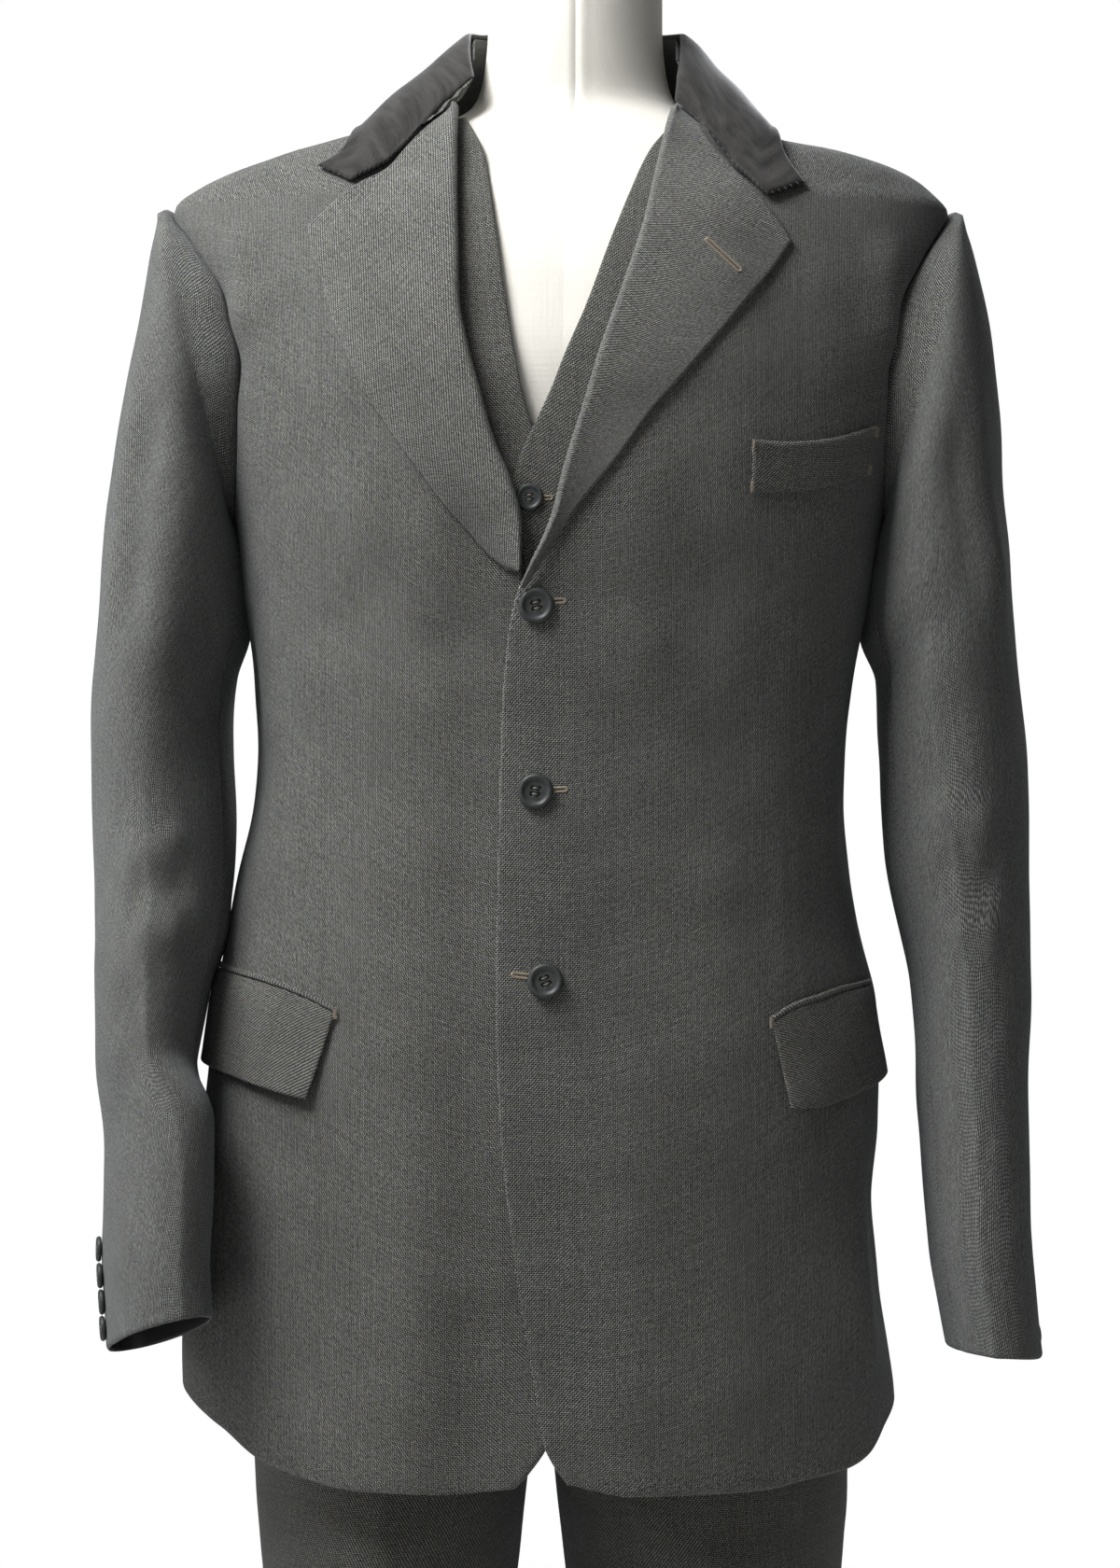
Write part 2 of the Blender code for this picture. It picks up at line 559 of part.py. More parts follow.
def front_rows(name):
    """Jacket front, from the neck to the hem and from the front edge to the side seam."""
    side = SIDES[name]
    edge = LEFT_EDGE if side > 0.0 else RIGHT_EDGE
    heights = [coat_top() + share * (COAT_NECK - coat_top()) for share in SHOULDER_SHARES]
    heights += armhole_heights(COAT_ARMHOLE) + list(COAT_HEIGHTS)
    shares = spread(0.0, 1.0, FRONT_COLUMNS)
    rows = [[(share, height) for share in shares] for height in heights]
    rows += hem_rows(HEM_RISE[name], COAT_HEIGHTS[-1], FRONT_COLUMNS)
    points = []
    for row in rows:
        line = []
        for share, height in row:
            start = turn_at_x(side, curve(edge, height), height)
            end = panel_end(height, COAT_ARMHOLE, -1.0)
            turn = start + (end - start) * share
            depth = tuck(side, coat_raw(side, turn, height).x, height, OVERLAP_DEPTH)
            line.append(coat_pair(side, turn, height, depth))
        points.append(line)
    return points


def back_rows(name):
    """Jacket back, from the neck to the hem and from the side seam to the middle."""
    side = SIDES[name]
    shares = spread(0.0, 1.0, BACK_COLUMNS)
    points = []
    for share_up in SHOULDER_SHARES:
        line = []
        for share in shares:
            neck = COAT_NECK + (COAT_NAPE - COAT_NECK) * ease(share)
            height = coat_top() + share_up * (neck - coat_top())
            line.append(coat_pair(side, 90.0 + 90.0 * share, height))
        points.append(line)
    heights = armhole_heights(COAT_ARMHOLE) + list(COAT_HEIGHTS)
    rows = [[(share, height) for share in shares] for height in heights]
    rows += hem_rows(BACK_HEM[name], COAT_HEIGHTS[-1], BACK_COLUMNS)
    for row in rows:
        line = []
        for share, height in row:
            start = panel_end(height, COAT_ARMHOLE, 1.0)
            line.append(coat_pair(side, start + (180.0 - start) * share, height))
        points.append(line)
    return points


def laid_pair(side, turn, height, lift):
    """A point lifted off a jacket front, with the direction out of the cloth."""
    x = coat_raw(side, turn, height).x
    return coat_pair(side, turn, height, tuck(side, x, height, OVERLAP_DEPTH) - lift)


def lapel_rows(name, columns=8):
    """A lapel lies on its front, from the roll line out to its edge, and swells at the roll."""
    side = SIDES[name]
    outline = LEFT_LAPEL if side > 0.0 else RIGHT_LAPEL
    edge = LEFT_EDGE if side > 0.0 else RIGHT_EDGE
    points = []
    for height, outer in reversed(outline):
        inner = curve(edge, height) + side * 0.0006
        line = []
        for share in spread(0.0, 1.0, columns):
            swell = 0.0030 * (1.0 - share) ** 2
            turn = turn_at_x(side, inner + (outer - inner) * share, height)
            line.append(laid_pair(side, turn, height, LAPEL_CLOTH + 0.0012 + swell))
        points.append(line)
    return points


def edge_stations(side, outline, count):
    """Evenly turned (turn, height) stations along an outline of (x, height) pairs."""
    first = turn_at_x(side, *outline[0])
    last = turn_at_x(side, *outline[-1])
    ordered = sorted(outline)
    stations = []
    for turn in spread(first, last, count):
        height = sum(point[1] for point in outline) / len(outline)
        for _ in range(4):
            height = curve(ordered, coat_raw(side, turn, height).x)
        stations.append((turn, height))
    return stations


def patch_rows(name, top_edge, bottom_edge, top_lift, bottom_lift, columns, rows=3):
    """A flap, jet or welt laid on a front between two outlines."""
    side = SIDES[name]
    top = edge_stations(side, top_edge, columns)
    bottom = edge_stations(side, bottom_edge, columns)
    points = []
    for share in spread(0.0, 1.0, rows):
        lift = top_lift + (bottom_lift - top_lift) * share
        line = []
        for (top_turn, top_height), (low_turn, low_height) in zip(top, bottom):
            turn = top_turn + (low_turn - top_turn) * share
            height = top_height + (low_height - top_height) * share
            line.append(laid_pair(side, turn, height, lift))
        points.append(line)
    return points


def sleeve_rings(name):
    """The armhole ring and the section table of a sleeve, each as a function of the way round."""
    side = SIDES[name]

    def armhole(turn):
        y = COAT_ARMHOLE["y"] - COAT_ARMHOLE["run"] * math.cos(math.radians(turn))
        height = COAT_ARMHOLE["height"] + COAT_ARMHOLE["rise"] * math.sin(math.radians(turn))
        point = coat_raw(side, turn_at_y(y, height), height)
        gap = HEAD_GAP[0] + (HEAD_GAP[1] - HEAD_GAP[0]) * ease(-2.0 * math.sin(math.radians(turn)))
        return point + Vector((side * gap, 0.0, 0.0))

    def section(row):
        middle_x, middle_y, middle_z, tilt, half_width, half_depth, yaw, pitch, _ = row
        lean, nose = math.radians(tilt), math.radians(pitch)
        outward = Vector((math.cos(lean), 0.0, math.sin(lean))) * half_width
        forward = Vector((0.0, -math.cos(nose), math.sin(nose))) * half_depth
        spin = Matrix.Rotation(math.radians(-yaw), 3, "Z")

        def ring(turn):
            angle = math.radians(turn)
            offset = spin @ (outward * math.sin(angle) + forward * math.cos(angle))
            return Vector((
                side * (middle_x + offset.x), middle_y + offset.y, middle_z + offset.z
            ))
        return ring

    return [armhole] + [section(row) for row in SLEEVE_ROWS[name]]


def sleeve_pair(name, rings, number, turn):
    """A point of a sleeve's outer side and the direction out; its sections are the inner side."""
    ring = rings[number]
    around = ring(turn + 2.0) - ring(turn - 2.0)
    down = rings[min(number + 1, len(rings) - 1)](turn) - rings[max(number - 1, 0)](turn)
    out = -SIDES[name] * around.cross(down).normalized()
    return ring(turn) + out * COAT_CLOTH, out


def sleeve_rows(name, part, columns):
    """A top sleeve or an under sleeve, from the armhole to the cuff."""
    table = SLEEVE_ROWS[name]
    rings = sleeve_rings(name)
    back_seams = [table[0][-1]] + [row[-1] for row in table]
    points = []
    for number, back_seam in enumerate(back_seams):
        if part == "top":
            turns = spread(FRONT_SLEEVE_SEAM, back_seam, columns)
        else:
            turns = spread(back_seam, FRONT_SLEEVE_SEAM + 360.0, columns)
        points.append([sleeve_pair(name, rings, number, turn) for turn in turns])
    return points


def off_coat(side, point, lift):
    """A point moved straight out until it is clear of the jacket."""
    width, front, back, middle, square = coat_section(point.z)
    across = side * (point.x - middle) / width
    along = -point.y / (front if point.y < 0.0 else back)
    turn = math.degrees(math.atan2(
        math.copysign(abs(across) ** (square / 2.0), across),
        math.copysign(abs(along) ** (square / 2.0), along),
    ))
    base, out = coat_pair(side, turn, point.z)
    return point + out * max(lift - (point - base).dot(out), 0.0)


def collar_station(side, at):
    """Fold and outer edge of the collar, foot of its stand and bulge, at a place along it."""
    places = range(len(COLLAR_STATIONS))
    read = [curve([(i, COLLAR_STATIONS[i][k]) for i in places], at) for k in range(7)]
    fold_x, fold_y, fold_z, edge_turn, edge_height, foot_turn, bulge = read
    fold = Vector((NECK_MIDDLE[0] + side * fold_x, fold_y, fold_z))
    edge = coat_point(side, edge_turn, edge_height, -COLLAR_LIFT)
    neck = COAT_NECK + (COAT_NAPE - COAT_NECK) * ease((foot_turn - 90.0) / 90.0)
    foot = coat_point(side, foot_turn, neck, 0.0002)
    foot.z = neck + 2.0 * SEAM
    return fold, edge, foot, bulge


def collar_rows():
    """Velvet collar from its left end round the back to its right end, five points across."""
    points = []
    last = len(COLLAR_STATIONS) - 1
    for name in SIDES:
        side = SIDES[name]
        lines = []
        for at in spread(0.0, last, COLLAR_STEPS):
            fold, edge, _, bulge = collar_station(side, at)
            out = Vector((edge.x - fold.x, edge.y - fold.y, 0.8 * (fold.z - edge.z))).normalized()
            line = []
            for share in (0.0, 0.15, 0.45, 0.75, 1.0):
                point = fold.lerp(edge, share) + out * bulge * 4.0 * share * (1.0 - share)
                line.append(off_coat(side, point, COLLAR_LIFT) if share > 0.5 else point)
            lines.append(line)
        end = []
        for x, height in COLLAR_ENDS[name]:
            end.append(laid_pair(side, turn_at_x(side, x, height), height, COLLAR_LIFT)[0])
        before = lines[-1]
        for share in (0.33, 0.67, 1.0):
            lines.append([
                off_coat(side, first.lerp(second, share), COLLAR_LIFT)
                for first, second in zip(before, end)
            ])
        points += list(reversed(lines)) if name == "left" else lines[1:]
    return with_normals(points, Vector((NECK_MIDDLE[0], 0.0, 1.35)))


def stand_rows():
    """Collar stand, inside the fold, from just under it down to the neckline."""
    points = []
    for name in SIDES:
        side = SIDES[name]
        lines = []
        for at in spread(0.0, STAND_END, COLLAR_STEPS):
            fold, _, foot, _ = collar_station(side, at)
            inward = Vector((NECK_MIDDLE[0] - fold.x, NECK_MIDDLE[1] - fold.y, 0.0)).normalized()
            top = fold + inward * (VELVET_CLOTH * 0.9) + Vector((0.0, 0.0, -0.0045))
            lines.append([top, foot])
        points += list(reversed(lines)) if name == "left" else lines[1:]
    return with_normals(points, Vector((NECK_MIDDLE[0], NECK_MIDDLE[1], 1.52)))


def make_jacket():
    lift = POCKET_CLOTH + LAID
    for name in SIDES:
        wall("jacket_front_" + name, trim(front_rows(name), last=True), COAT_CLOTH)
        wall("jacket_back_" + name, trim(back_rows(name), first=True, last=True), COAT_CLOTH)
        wall("jacket_lapel_" + name, lapel_rows(name), LAPEL_CLOTH)
        top = trim(sleeve_rows(name, "top", TOP_SLEEVE_COLUMNS), first=True, last=True)
        wall("jacket_top_sleeve_" + name, top, COAT_CLOTH)
        under = trim(sleeve_rows(name, "under", UNDER_SLEEVE_COLUMNS), first=True, last=True)
        wall("jacket_under_sleeve_" + name, under, COAT_CLOTH)
        top_edge, bottom_edge = FLAPS[name]
        flap = patch_rows(name, top_edge, bottom_edge, lift, lift + 0.0035, 10, 4)
        wall("pocket_flap_" + name, flap, POCKET_CLOTH)
        upper = [(x, height + JET_WIDTH + SEAM) for x, height in top_edge]
        lower = [(x, height + SEAM) for x, height in top_edge]
        wall("pocket_jet_" + name, patch_rows(name, upper, lower, lift, lift, 10, 2), POCKET_CLOTH)
    welt = patch_rows("left", *CHEST_WELT, lift, lift, 8)
    wall("chest_welt", welt, POCKET_CLOTH)
    wall("collar_velvet", collar_rows(), VELVET_CLOTH, VELVET)
    wall("collar_stand", stand_rows(), VEST_CLOTH)


# ---- buttons ----------------------------------------------------------------------------------
def button_profile(diameter, height):
    """A flat button with a raised rim, from the middle of its back round to its dished front."""
    radius = diameter / 2.0
    return (
        (0.0, 0.0),
        (radius * 0.86, 0.0),
        (radius, height * 0.45),
        (radius * 0.93, height),
        (radius * 0.66, height * 0.72),
        (0.0, height * 0.66),
    )


def make_buttons():
    for number, (x, height) in enumerate(COAT_BUTTON_SPOTS, 1):
        spot, facing = coat_pair(1.0, turn_at_x(1.0, x, height), height, -0.0004)
        turned(f"coat_button_{number}", button_profile(COAT_BUTTON, 0.0036), spot, facing, HORN, 18)
    for number in range(VEST_BUTTONS):
        height = VEST_BUTTON_TOP - number * VEST_BUTTON_PITCH
        spot, facing = vest_pair(1.0, turn_at_x(1.0, VEST_BUTTON_X, height), height)
        turned(f"vest_button_{number + 1}", button_profile(VEST_BUTTON, 0.0022),
               spot + facing * 0.0003, facing, HORN, 12)
    for name in SIDES:
        for number in range(CUFF_BUTTONS):
            height = CUFF_BUTTON_TOP[name] - number * CUFF_BUTTON_PITCH
            spot, facing = cuff_spot(name, height)
            turned(f"cuff_button_{name}_{number + 1}", button_profile(CUFF_BUTTON, 0.0028), spot,
                   facing, HORN, 12)


def cuff_spot(name, height):
    """Seat of a cuff button on the top sleeve, just in front of the back seam."""
    rows = sleeve_rows(name, "top", TOP_SLEEVE_COLUMNS)
    low = [point for point, _ in rows[-1][-3:-1]]
    high = [point for point, _ in rows[-2][-3:-1]]
    foot, head = (low[0] + low[1]) / 2.0, (high[0] + high[1]) / 2.0
    facing = (low[1] - low[0]).cross(head - foot).normalized() * SIDES[name]
    share = (height - foot.z) / (head.z - foot.z)
    return foot.lerp(head, share) + facing * 0.0006, facing


# ---- waistcoat --------------------------------------------------------------------------------
VEST_NECK = 1.4860
VEST_NAPE = 1.5000
VEST_SHARES = (1.0, 0.66, 0.33, 0.0)
VEST_HEIGHTS = (1.165, 1.110, 1.060, 1.030)
VEST_FRONT_COLUMNS = 9
VEST_BACK_COLUMNS = 19


def vest_top():
    return VEST_ARMHOLE["height"] + VEST_ARMHOLE["rise"]


def vest_pair(side, turn, height):
    """The waistcoat's outer side; the left front rises where it laps over the right one."""
    depth = column(LAYER_DEPTHS, 1, height)
    if side > 0.0:
        x = coat_raw(side, turn, height).x
        lap = (1.0 - ease((x - 0.026) / 0.040)) * (1.0 - ease((height - 1.300) / 0.030))
        depth -= VEST_OVERLAP_DEPTH * lap
    return coat_pair(side, turn, height, depth)


def vest_front_rows(name):
    """A waistcoat front, from the shoulder to its pointed hem."""
    side = SIDES[name]
    edge = VEST_LEFT_EDGE if side > 0.0 else VEST_RIGHT_EDGE
    heights = [vest_top() + share * (VEST_NECK - vest_top()) for share in VEST_SHARES]
    heights += armhole_heights(VEST_ARMHOLE) + list(VEST_HEIGHTS)
    shares = spread(0.0, 1.0, VEST_FRONT_COLUMNS)
    rows = [[(share, height) for share in shares] for height in heights]
    rows += hem_rows(VEST_HEM, VEST_HEIGHTS[-1], VEST_FRONT_COLUMNS)
    points = []
    for row in rows:
        line = []
        for share, height in row:
            start = turn_at_x(side, curve(edge, height), height)
            end = panel_end(height, VEST_ARMHOLE, -1.0)
            line.append(vest_pair(side, start + (end - start) * share, height))
        points.append(line)
    return points


def vest_back_rows():
    """The waistcoat back, from one side seam round to the other."""
    half = spread(0.0, 1.0, VEST_BACK_COLUMNS // 2 + 1)
    order = [(1.0, share) for share in half] + [(-1.0, share) for share in reversed(half[:-1])]
    points = []
    for share_up in VEST_SHARES:
        line = []
        for side, share in order:
            neck = VEST_NECK + (VEST_NAPE - VEST_NECK) * ease(share)
            height = vest_top() + share_up * (neck - vest_top())
            line.append(vest_pair(side, 90.0 + 90.0 * share, height))
        points.append(line)
    for height in armhole_heights(VEST_ARMHOLE) + list(VEST_HEIGHTS) + [VEST_HEM[-1][1]]:
        start = panel_end(height, VEST_ARMHOLE, 1.0)
        points.append([
            vest_pair(side, start + (180.0 - start) * share, height) for side, share in order
        ])
    return points


def make_waistcoat():
    for name in SIDES:
        wall("waistcoat_front_" + name, trim(vest_front_rows(name), last=True), VEST_CLOTH)
    wall("waistcoat_back", trim(vest_back_rows(), first=True, last=True), VEST_CLOTH)


# ---- trousers ---------------------------------------------------------------------------------
TROUSER_HEIGHTS = (1.0185, 0.990, 0.950, 0.905, 0.860, 0.820, 0.785, 0.762, 0.745, 0.690, 0.600,
                   0.480, 0.340, 0.190, TROUSER_HEM)
TROUSER_COLUMNS = 9


def leg_point(side, share, height, panel):
    """Outer side of a trouser leg; the share runs from the fork or inseam to the side seam."""
    read = [column(TROUSER_SECTIONS, index, height) for index in range(1, 8)]
    middle, inner, right_outer, left_outer, front, back, square = read
    outer = left_outer if side > 0.0 else right_outer
    centre = (inner + outer) / 2.0
    half = (outer - inner) / 2.0
    start = -90.0
    if inner < 0.0:
        start = -math.degrees(math.asin(max(centre / half, 0.0) ** (square / 2.0)))
    angle = math.radians(start + (90.0 - start) * share)
    across = math.copysign(abs(math.sin(angle)) ** (2.0 / square), math.sin(angle))
    along = abs(math.cos(angle)) ** (2.0 / square)
    depth = -front * along if panel == "front" else back * along
    return Vector((middle + side * (centre + half * across), depth, height))


def leg_pair(side, share, height, panel):
    """A point of a trouser leg and the direction out of its cloth."""
    before, after = max(share - 0.02, 0.0), min(share + 0.02, 1.0)
    around = leg_point(side, after, height, panel) - leg_point(side, before, height, panel)
    above, below = min(height + 0.003, TROUSER_HEIGHTS[0]), max(height - 0.003, TROUSER_HEM)
    upward = leg_point(side, share, above, panel) - leg_point(side, share, below, panel)
    facing = side if panel == "front" else -side
    return leg_point(side, share, height, panel), facing * around.cross(upward).normalized()


def band_pair(side, turn, height):
    """The waistband's outer side: the jacket's section drawn in level."""
    point, out = coat_pair(side, turn, height)
    out = Vector((out.x, out.y, 0.0)).normalized()
    return point - out * WAISTBAND_DEPTH, out


def make_trousers():
    for name, side in SIDES.items():
        for panel in ("front", "back"):
            shares = spread(0.0, 1.0, TROUSER_COLUMNS)
            rows = [[leg_pair(side, share, height, panel) for share in shares]
                    for height in TROUSER_HEIGHTS]
            rows = trim(rows, first=True, last=True, top=True)
            wall("trouser_" + panel + "_" + name, rows, TROUSER_CLOTH)
        turns = spread(0.0, 180.0, 15)
        band = [[band_pair(side, turn, height) for turn in turns] for height in WAISTBAND]
        wall("waistband_" + name, trim(band, first=True, last=True), TROUSER_CLOTH)


# ---- dress form -------------------------------------------------------------------------------
FORM_SEGMENTS = 28
FORM_HEIGHTS = (FORM_FOOT, 0.905, 0.950, 1.000, 1.040, 1.075, 1.110, 1.160, 1.210, 1.270, 1.330,
                1.380, 1.415, 1.440, 1.457, 1.470, 1.481)


def form_ring(height):
    """The linen body: the suit's own line, drawn in, with the shoulders ended off."""
    ring = []
    depth = column(LAYER_DEPTHS, 2, height)
    middle = column(COAT_SECTIONS, 4, height)
    for i in range(FORM_SEGMENTS):
        turn = 360.0 * i / FORM_SEGMENTS
        side = 1.0 if turn <= 180.0 else -1.0
        point, out = coat_pair(side, min(turn, 360.0 - turn), height)
        if height < SHOULDER_START:
            out = Vector((out.x, out.y, 0.0)).normalized()
        point -= out * depth
        reach = abs(point.x - middle)
        start = SHOULDER_END - SHOULDER_ROUND
        if reach > start:
            reach = start + SHOULDER_ROUND * (1.0 - math.exp(-(reach - start) / SHOULDER_ROUND))
        ring.append(Vector((middle + math.copysign(reach, point.x - middle), point.y, point.z)))
    return ring


def neck_ring(row):
    """A ring of the neck."""
    height, half_width, front, back = row
    ring = []
    for i in range(FORM_SEGMENTS):
        angle = 2.0 * math.pi * i / FORM_SEGMENTS
        depth = front if math.cos(angle) > 0.0 else back
        ring.append(Vector((
            NECK_MIDDLE[0] + half_width * math.sin(angle),
            NECK_MIDDLE[1] - depth * math.cos(angle),
            height,
        )))
    return ring


def make_form():
    rings = [form_ring(height) for height in FORM_HEIGHTS]
    rings += [neck_ring(row) for row in NECK_ROWS]
    loft("form_body", rings, LINEN)
    upward = Vector((0.0, 0.0, 1.0))
    cap = ((0.0, 0.0), (0.0480, 0.0), (0.0500, 0.003), (0.0490, 0.010), (0.0300, 0.016), (0.0, 0.018))
    turned("form_neck_cap", cap, Vector((*NECK_MIDDLE, NECK_TOP + SEAM)), upward, IRON, 24)
    socket_foot = FORM_FOOT - SEAM - SOCKET_HEIGHT
    socket = (
        (0.0, 0.0), (SOCKET_RADIUS * 0.94, 0.0), (SOCKET_RADIUS, 0.002),
        (SOCKET_RADIUS, SOCKET_HEIGHT), (0.0, SOCKET_HEIGHT),
    )
    turned("stand_socket", socket, Vector((POLE_X, POLE_Y, socket_foot)), upward, IRON, 24, 0.8)
    length = socket_foot - BASE_HEIGHT - 2.0 * SEAM
    pole = ((0.0, 0.0), (POLE_RADIUS, 0.0), (POLE_RADIUS, length), (0.0, length))
    foot = Vector((POLE_X, POLE_Y, BASE_HEIGHT + SEAM))
    turned("stand_pole", pole, foot, upward, IRON, 20, 0.8)
    disc = (
        (0.0, 0.0), (BASE_RADIUS, 0.0), (BASE_RADIUS, BASE_HEIGHT * 0.6),
        (BASE_RADIUS - 0.006, BASE_HEIGHT), (0.0, BASE_HEIGHT),
    )
    turned("stand_base", disc, Vector((0.0, 0.0, 0.0)), upward, IRON, 40, 0.8)


for leftover in list(bpy.data.objects):
    bpy.data.objects.remove(leftover, do_unlink=True)

make_form()
make_trousers()
make_waistcoat()
make_jacket()
make_buttons()
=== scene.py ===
import math
from functools import partial

import bpy
import numpy as np
from mathutils import Matrix, Vector


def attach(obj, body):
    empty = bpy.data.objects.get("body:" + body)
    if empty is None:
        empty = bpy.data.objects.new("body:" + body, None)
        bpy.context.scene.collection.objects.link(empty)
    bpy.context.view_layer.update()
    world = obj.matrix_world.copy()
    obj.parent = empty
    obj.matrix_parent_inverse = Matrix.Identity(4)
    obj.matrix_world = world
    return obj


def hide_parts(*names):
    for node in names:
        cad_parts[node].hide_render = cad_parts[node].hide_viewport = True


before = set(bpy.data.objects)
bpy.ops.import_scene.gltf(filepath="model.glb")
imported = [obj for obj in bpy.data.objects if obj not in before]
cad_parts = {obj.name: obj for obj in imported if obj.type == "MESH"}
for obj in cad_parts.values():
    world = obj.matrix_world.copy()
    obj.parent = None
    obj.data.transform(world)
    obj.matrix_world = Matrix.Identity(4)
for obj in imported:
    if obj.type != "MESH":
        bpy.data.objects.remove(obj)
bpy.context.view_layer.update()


# ---- the room ----------------------------------------------------------------------------------
# A pale round floor that ends behind the suit, a white room, and soft light from large lamps high
# in front of the suit. The camera stands 1.8 m in front of it at chest height and looks level.
FLOOR_RADIUS, FLOOR_HEIGHT = 2.0, -0.0008
CAMERA_PLACE = (0.0, -1.80, 1.097)
CAMERA_LENS = 3250.0 / 1680.0 * 36.0


def add(tree, kind, inputs=None, **settings):
    """A new shader node, its settings, and its inputs as values or as other nodes' outputs."""
    node = tree.nodes.new("ShaderNode" + kind)
    for name, value in settings.items():
        setattr(node, name, value)
    for place, value in (inputs or {}).items():
        if isinstance(value, bpy.types.NodeSocket):
            tree.links.new(value, node.inputs[place])
        else:
            node.inputs[place].default_value = value
    return node


def maths(tree, operation, first, second=0.0, third=0.0):
    return add(tree, "Math", {0: first, 1: second, 2: third}, operation=operation).outputs[0]


def noise(tree, vector, scale, detail, **inputs):
    return add(tree, "TexNoise", {"Vector": vector, "Scale": scale, "Detail": detail, **inputs}).outputs[0]


def blend(tree, share, dark, pale):
    """A colour between two, each given as three parts or as another node's output."""
    ends = [end if isinstance(end, bpy.types.NodeSocket) else (*end, 1.0) for end in (dark, pale)]
    return add(tree, "Mix", {0: share, 6: ends[0], 7: ends[1]}, data_type="RGBA").outputs[2]


def finish(name, roughness, **inputs):
    """A new material, its node tree and its shader, whose other inputs are given by name."""
    look = bpy.data.materials.new(name)
    look.use_nodes = True
    shader = look.node_tree.nodes["Principled BSDF"]
    shader.inputs["Roughness"].default_value = roughness
    for word, value in inputs.items():
        shader.inputs[word.replace("_", " ")].default_value = value
    return look, look.node_tree, shader


def dress(tree, shader, colour, height, strength, distance):
    """Gives the shader its colour and a fine relief."""
    tree.links.new(colour, shader.inputs["Base Color"])
    bump = add(tree, "Bump", {"Strength": strength, "Distance": distance, "Height": height})
    tree.links.new(bump.outputs[0], shader.inputs["Normal"])


def floor_look():
    look, tree, shader = finish("pale_floor", 0.7)
    place = add(tree, "TexCoord").outputs["Object"]
    tone = blend(tree, noise(tree, place, 3.0, 4.0), (0.80, 0.80, 0.79), (0.86, 0.86, 0.85))
    tree.links.new(tone, shader.inputs["Base Color"])
    return look


angles = [2.0 * math.pi * i / 96 for i in range(96)]
floor_mesh = bpy.data.meshes.new("floor")
floor_mesh.from_pydata(
    [(0.0, 0.0, FLOOR_HEIGHT)] + [(FLOOR_RADIUS * math.cos(a), FLOOR_RADIUS * math.sin(a), FLOOR_HEIGHT)
                                  for a in angles],
    [], [(0, i + 1, (i + 1) % 96 + 1) for i in range(96)],
)
floor_mesh.materials.append(floor_look())
floor = bpy.data.objects.new("floor", floor_mesh)
bpy.context.scene.collection.objects.link(floor)

room = bpy.data.worlds.new("room")
bpy.context.scene.world = room
room.use_nodes = True
sky = room.node_tree
seen = add(sky, "LightPath").outputs["Is Camera Ray"]
level = maths(sky, "MULTIPLY_ADD", seen, 0.89, 0.11)
sky.links.new(level, sky.nodes["Background"].inputs["Strength"])
sky.nodes["Background"].inputs["Color"].default_value = (1.0, 1.0, 1.0, 1.0)

LAMPS = (
    # name, place, aim, size, watts
    ("key_lamp", (-0.95, -0.72, 2.60), (0.0, 0.0, 1.30), 0.9, 60.0),
    ("fill_lamp", (-0.3, -3.0, 1.6), (0.0, 0.0, 0.95), 1.6, 6.0),
    ("side_lamp", (-2.6, -0.2, 1.2), (0.0, 0.0, 0.95), 1.4, 18.0),
    ("back_lamp", (0.6, 2.6, 2.6), (0.0, 0.0, 1.10), 1.8, 40.0),
)
for name, place, aim, size, watts in LAMPS:
    light = bpy.data.lights.new(name, "AREA")
    light.size = size
    light.energy = watts
    lamp = bpy.data.objects.new(name, light)
    lamp.location = place
    lamp.rotation_euler = (Vector(aim) - Vector(place)).to_track_quat("-Z", "Y").to_euler()
    bpy.context.scene.collection.objects.link(lamp)

view = bpy.data.cameras.new("front_view")
view.sensor_fit = "VERTICAL"
view.sensor_height = 36.0
view.lens = CAMERA_LENS
camera = bpy.data.objects.new("front_view", view)
camera.location = CAMERA_PLACE
camera.rotation_euler = (math.radians(90.0), 0.0, 0.0)
bpy.context.scene.collection.objects.link(camera)
bpy.context.scene.camera = camera
bpy.context.scene.view_settings.view_transform = "Standard"


# ---- the stand ---------------------------------------------------------------------------------
# A heavy round iron base, an iron pole and the socket plate that the form is screwed to, all
# turned and painted satin black, and the lacquered wooden cap that closes the form's neck.
BASE_RADIUS = 0.190
BASE_HEIGHT = 0.014
POLE_RADIUS = 0.0125
POLE_PLACE = (0.088, 0.005)
SOCKET_RADIUS = 0.032
SOCKET_HEIGHT = 0.0045
SEAM = 0.0003
FORM_FOOT = 0.865
NECK_TOP = 1.590
NECK_MIDDLE = (0.009, 0.008)


def paint_look(name, tone, roughness, coat):
    """Satin paint or lacquer with faint brush marks and dust."""
    look, tree, shader = finish(name, roughness, Coat_Weight=coat, Coat_Roughness=0.3)
    place = add(tree, "TexCoord").outputs["Object"]
    dust, worn = noise(tree, place, 55.0, 5.0), noise(tree, place, 9.0, 3.0)
    pale = [2.2 * part + 0.012 for part in tone]
    dress(tree, shader, blend(tree, maths(tree, "MULTIPLY", dust, worn), tone, pale), dust, 0.15, 0.0006)
    rough = maths(tree, "MULTIPLY_ADD", dust, 0.25, roughness - 0.12)
    tree.links.new(rough, shader.inputs["Roughness"])
    return look


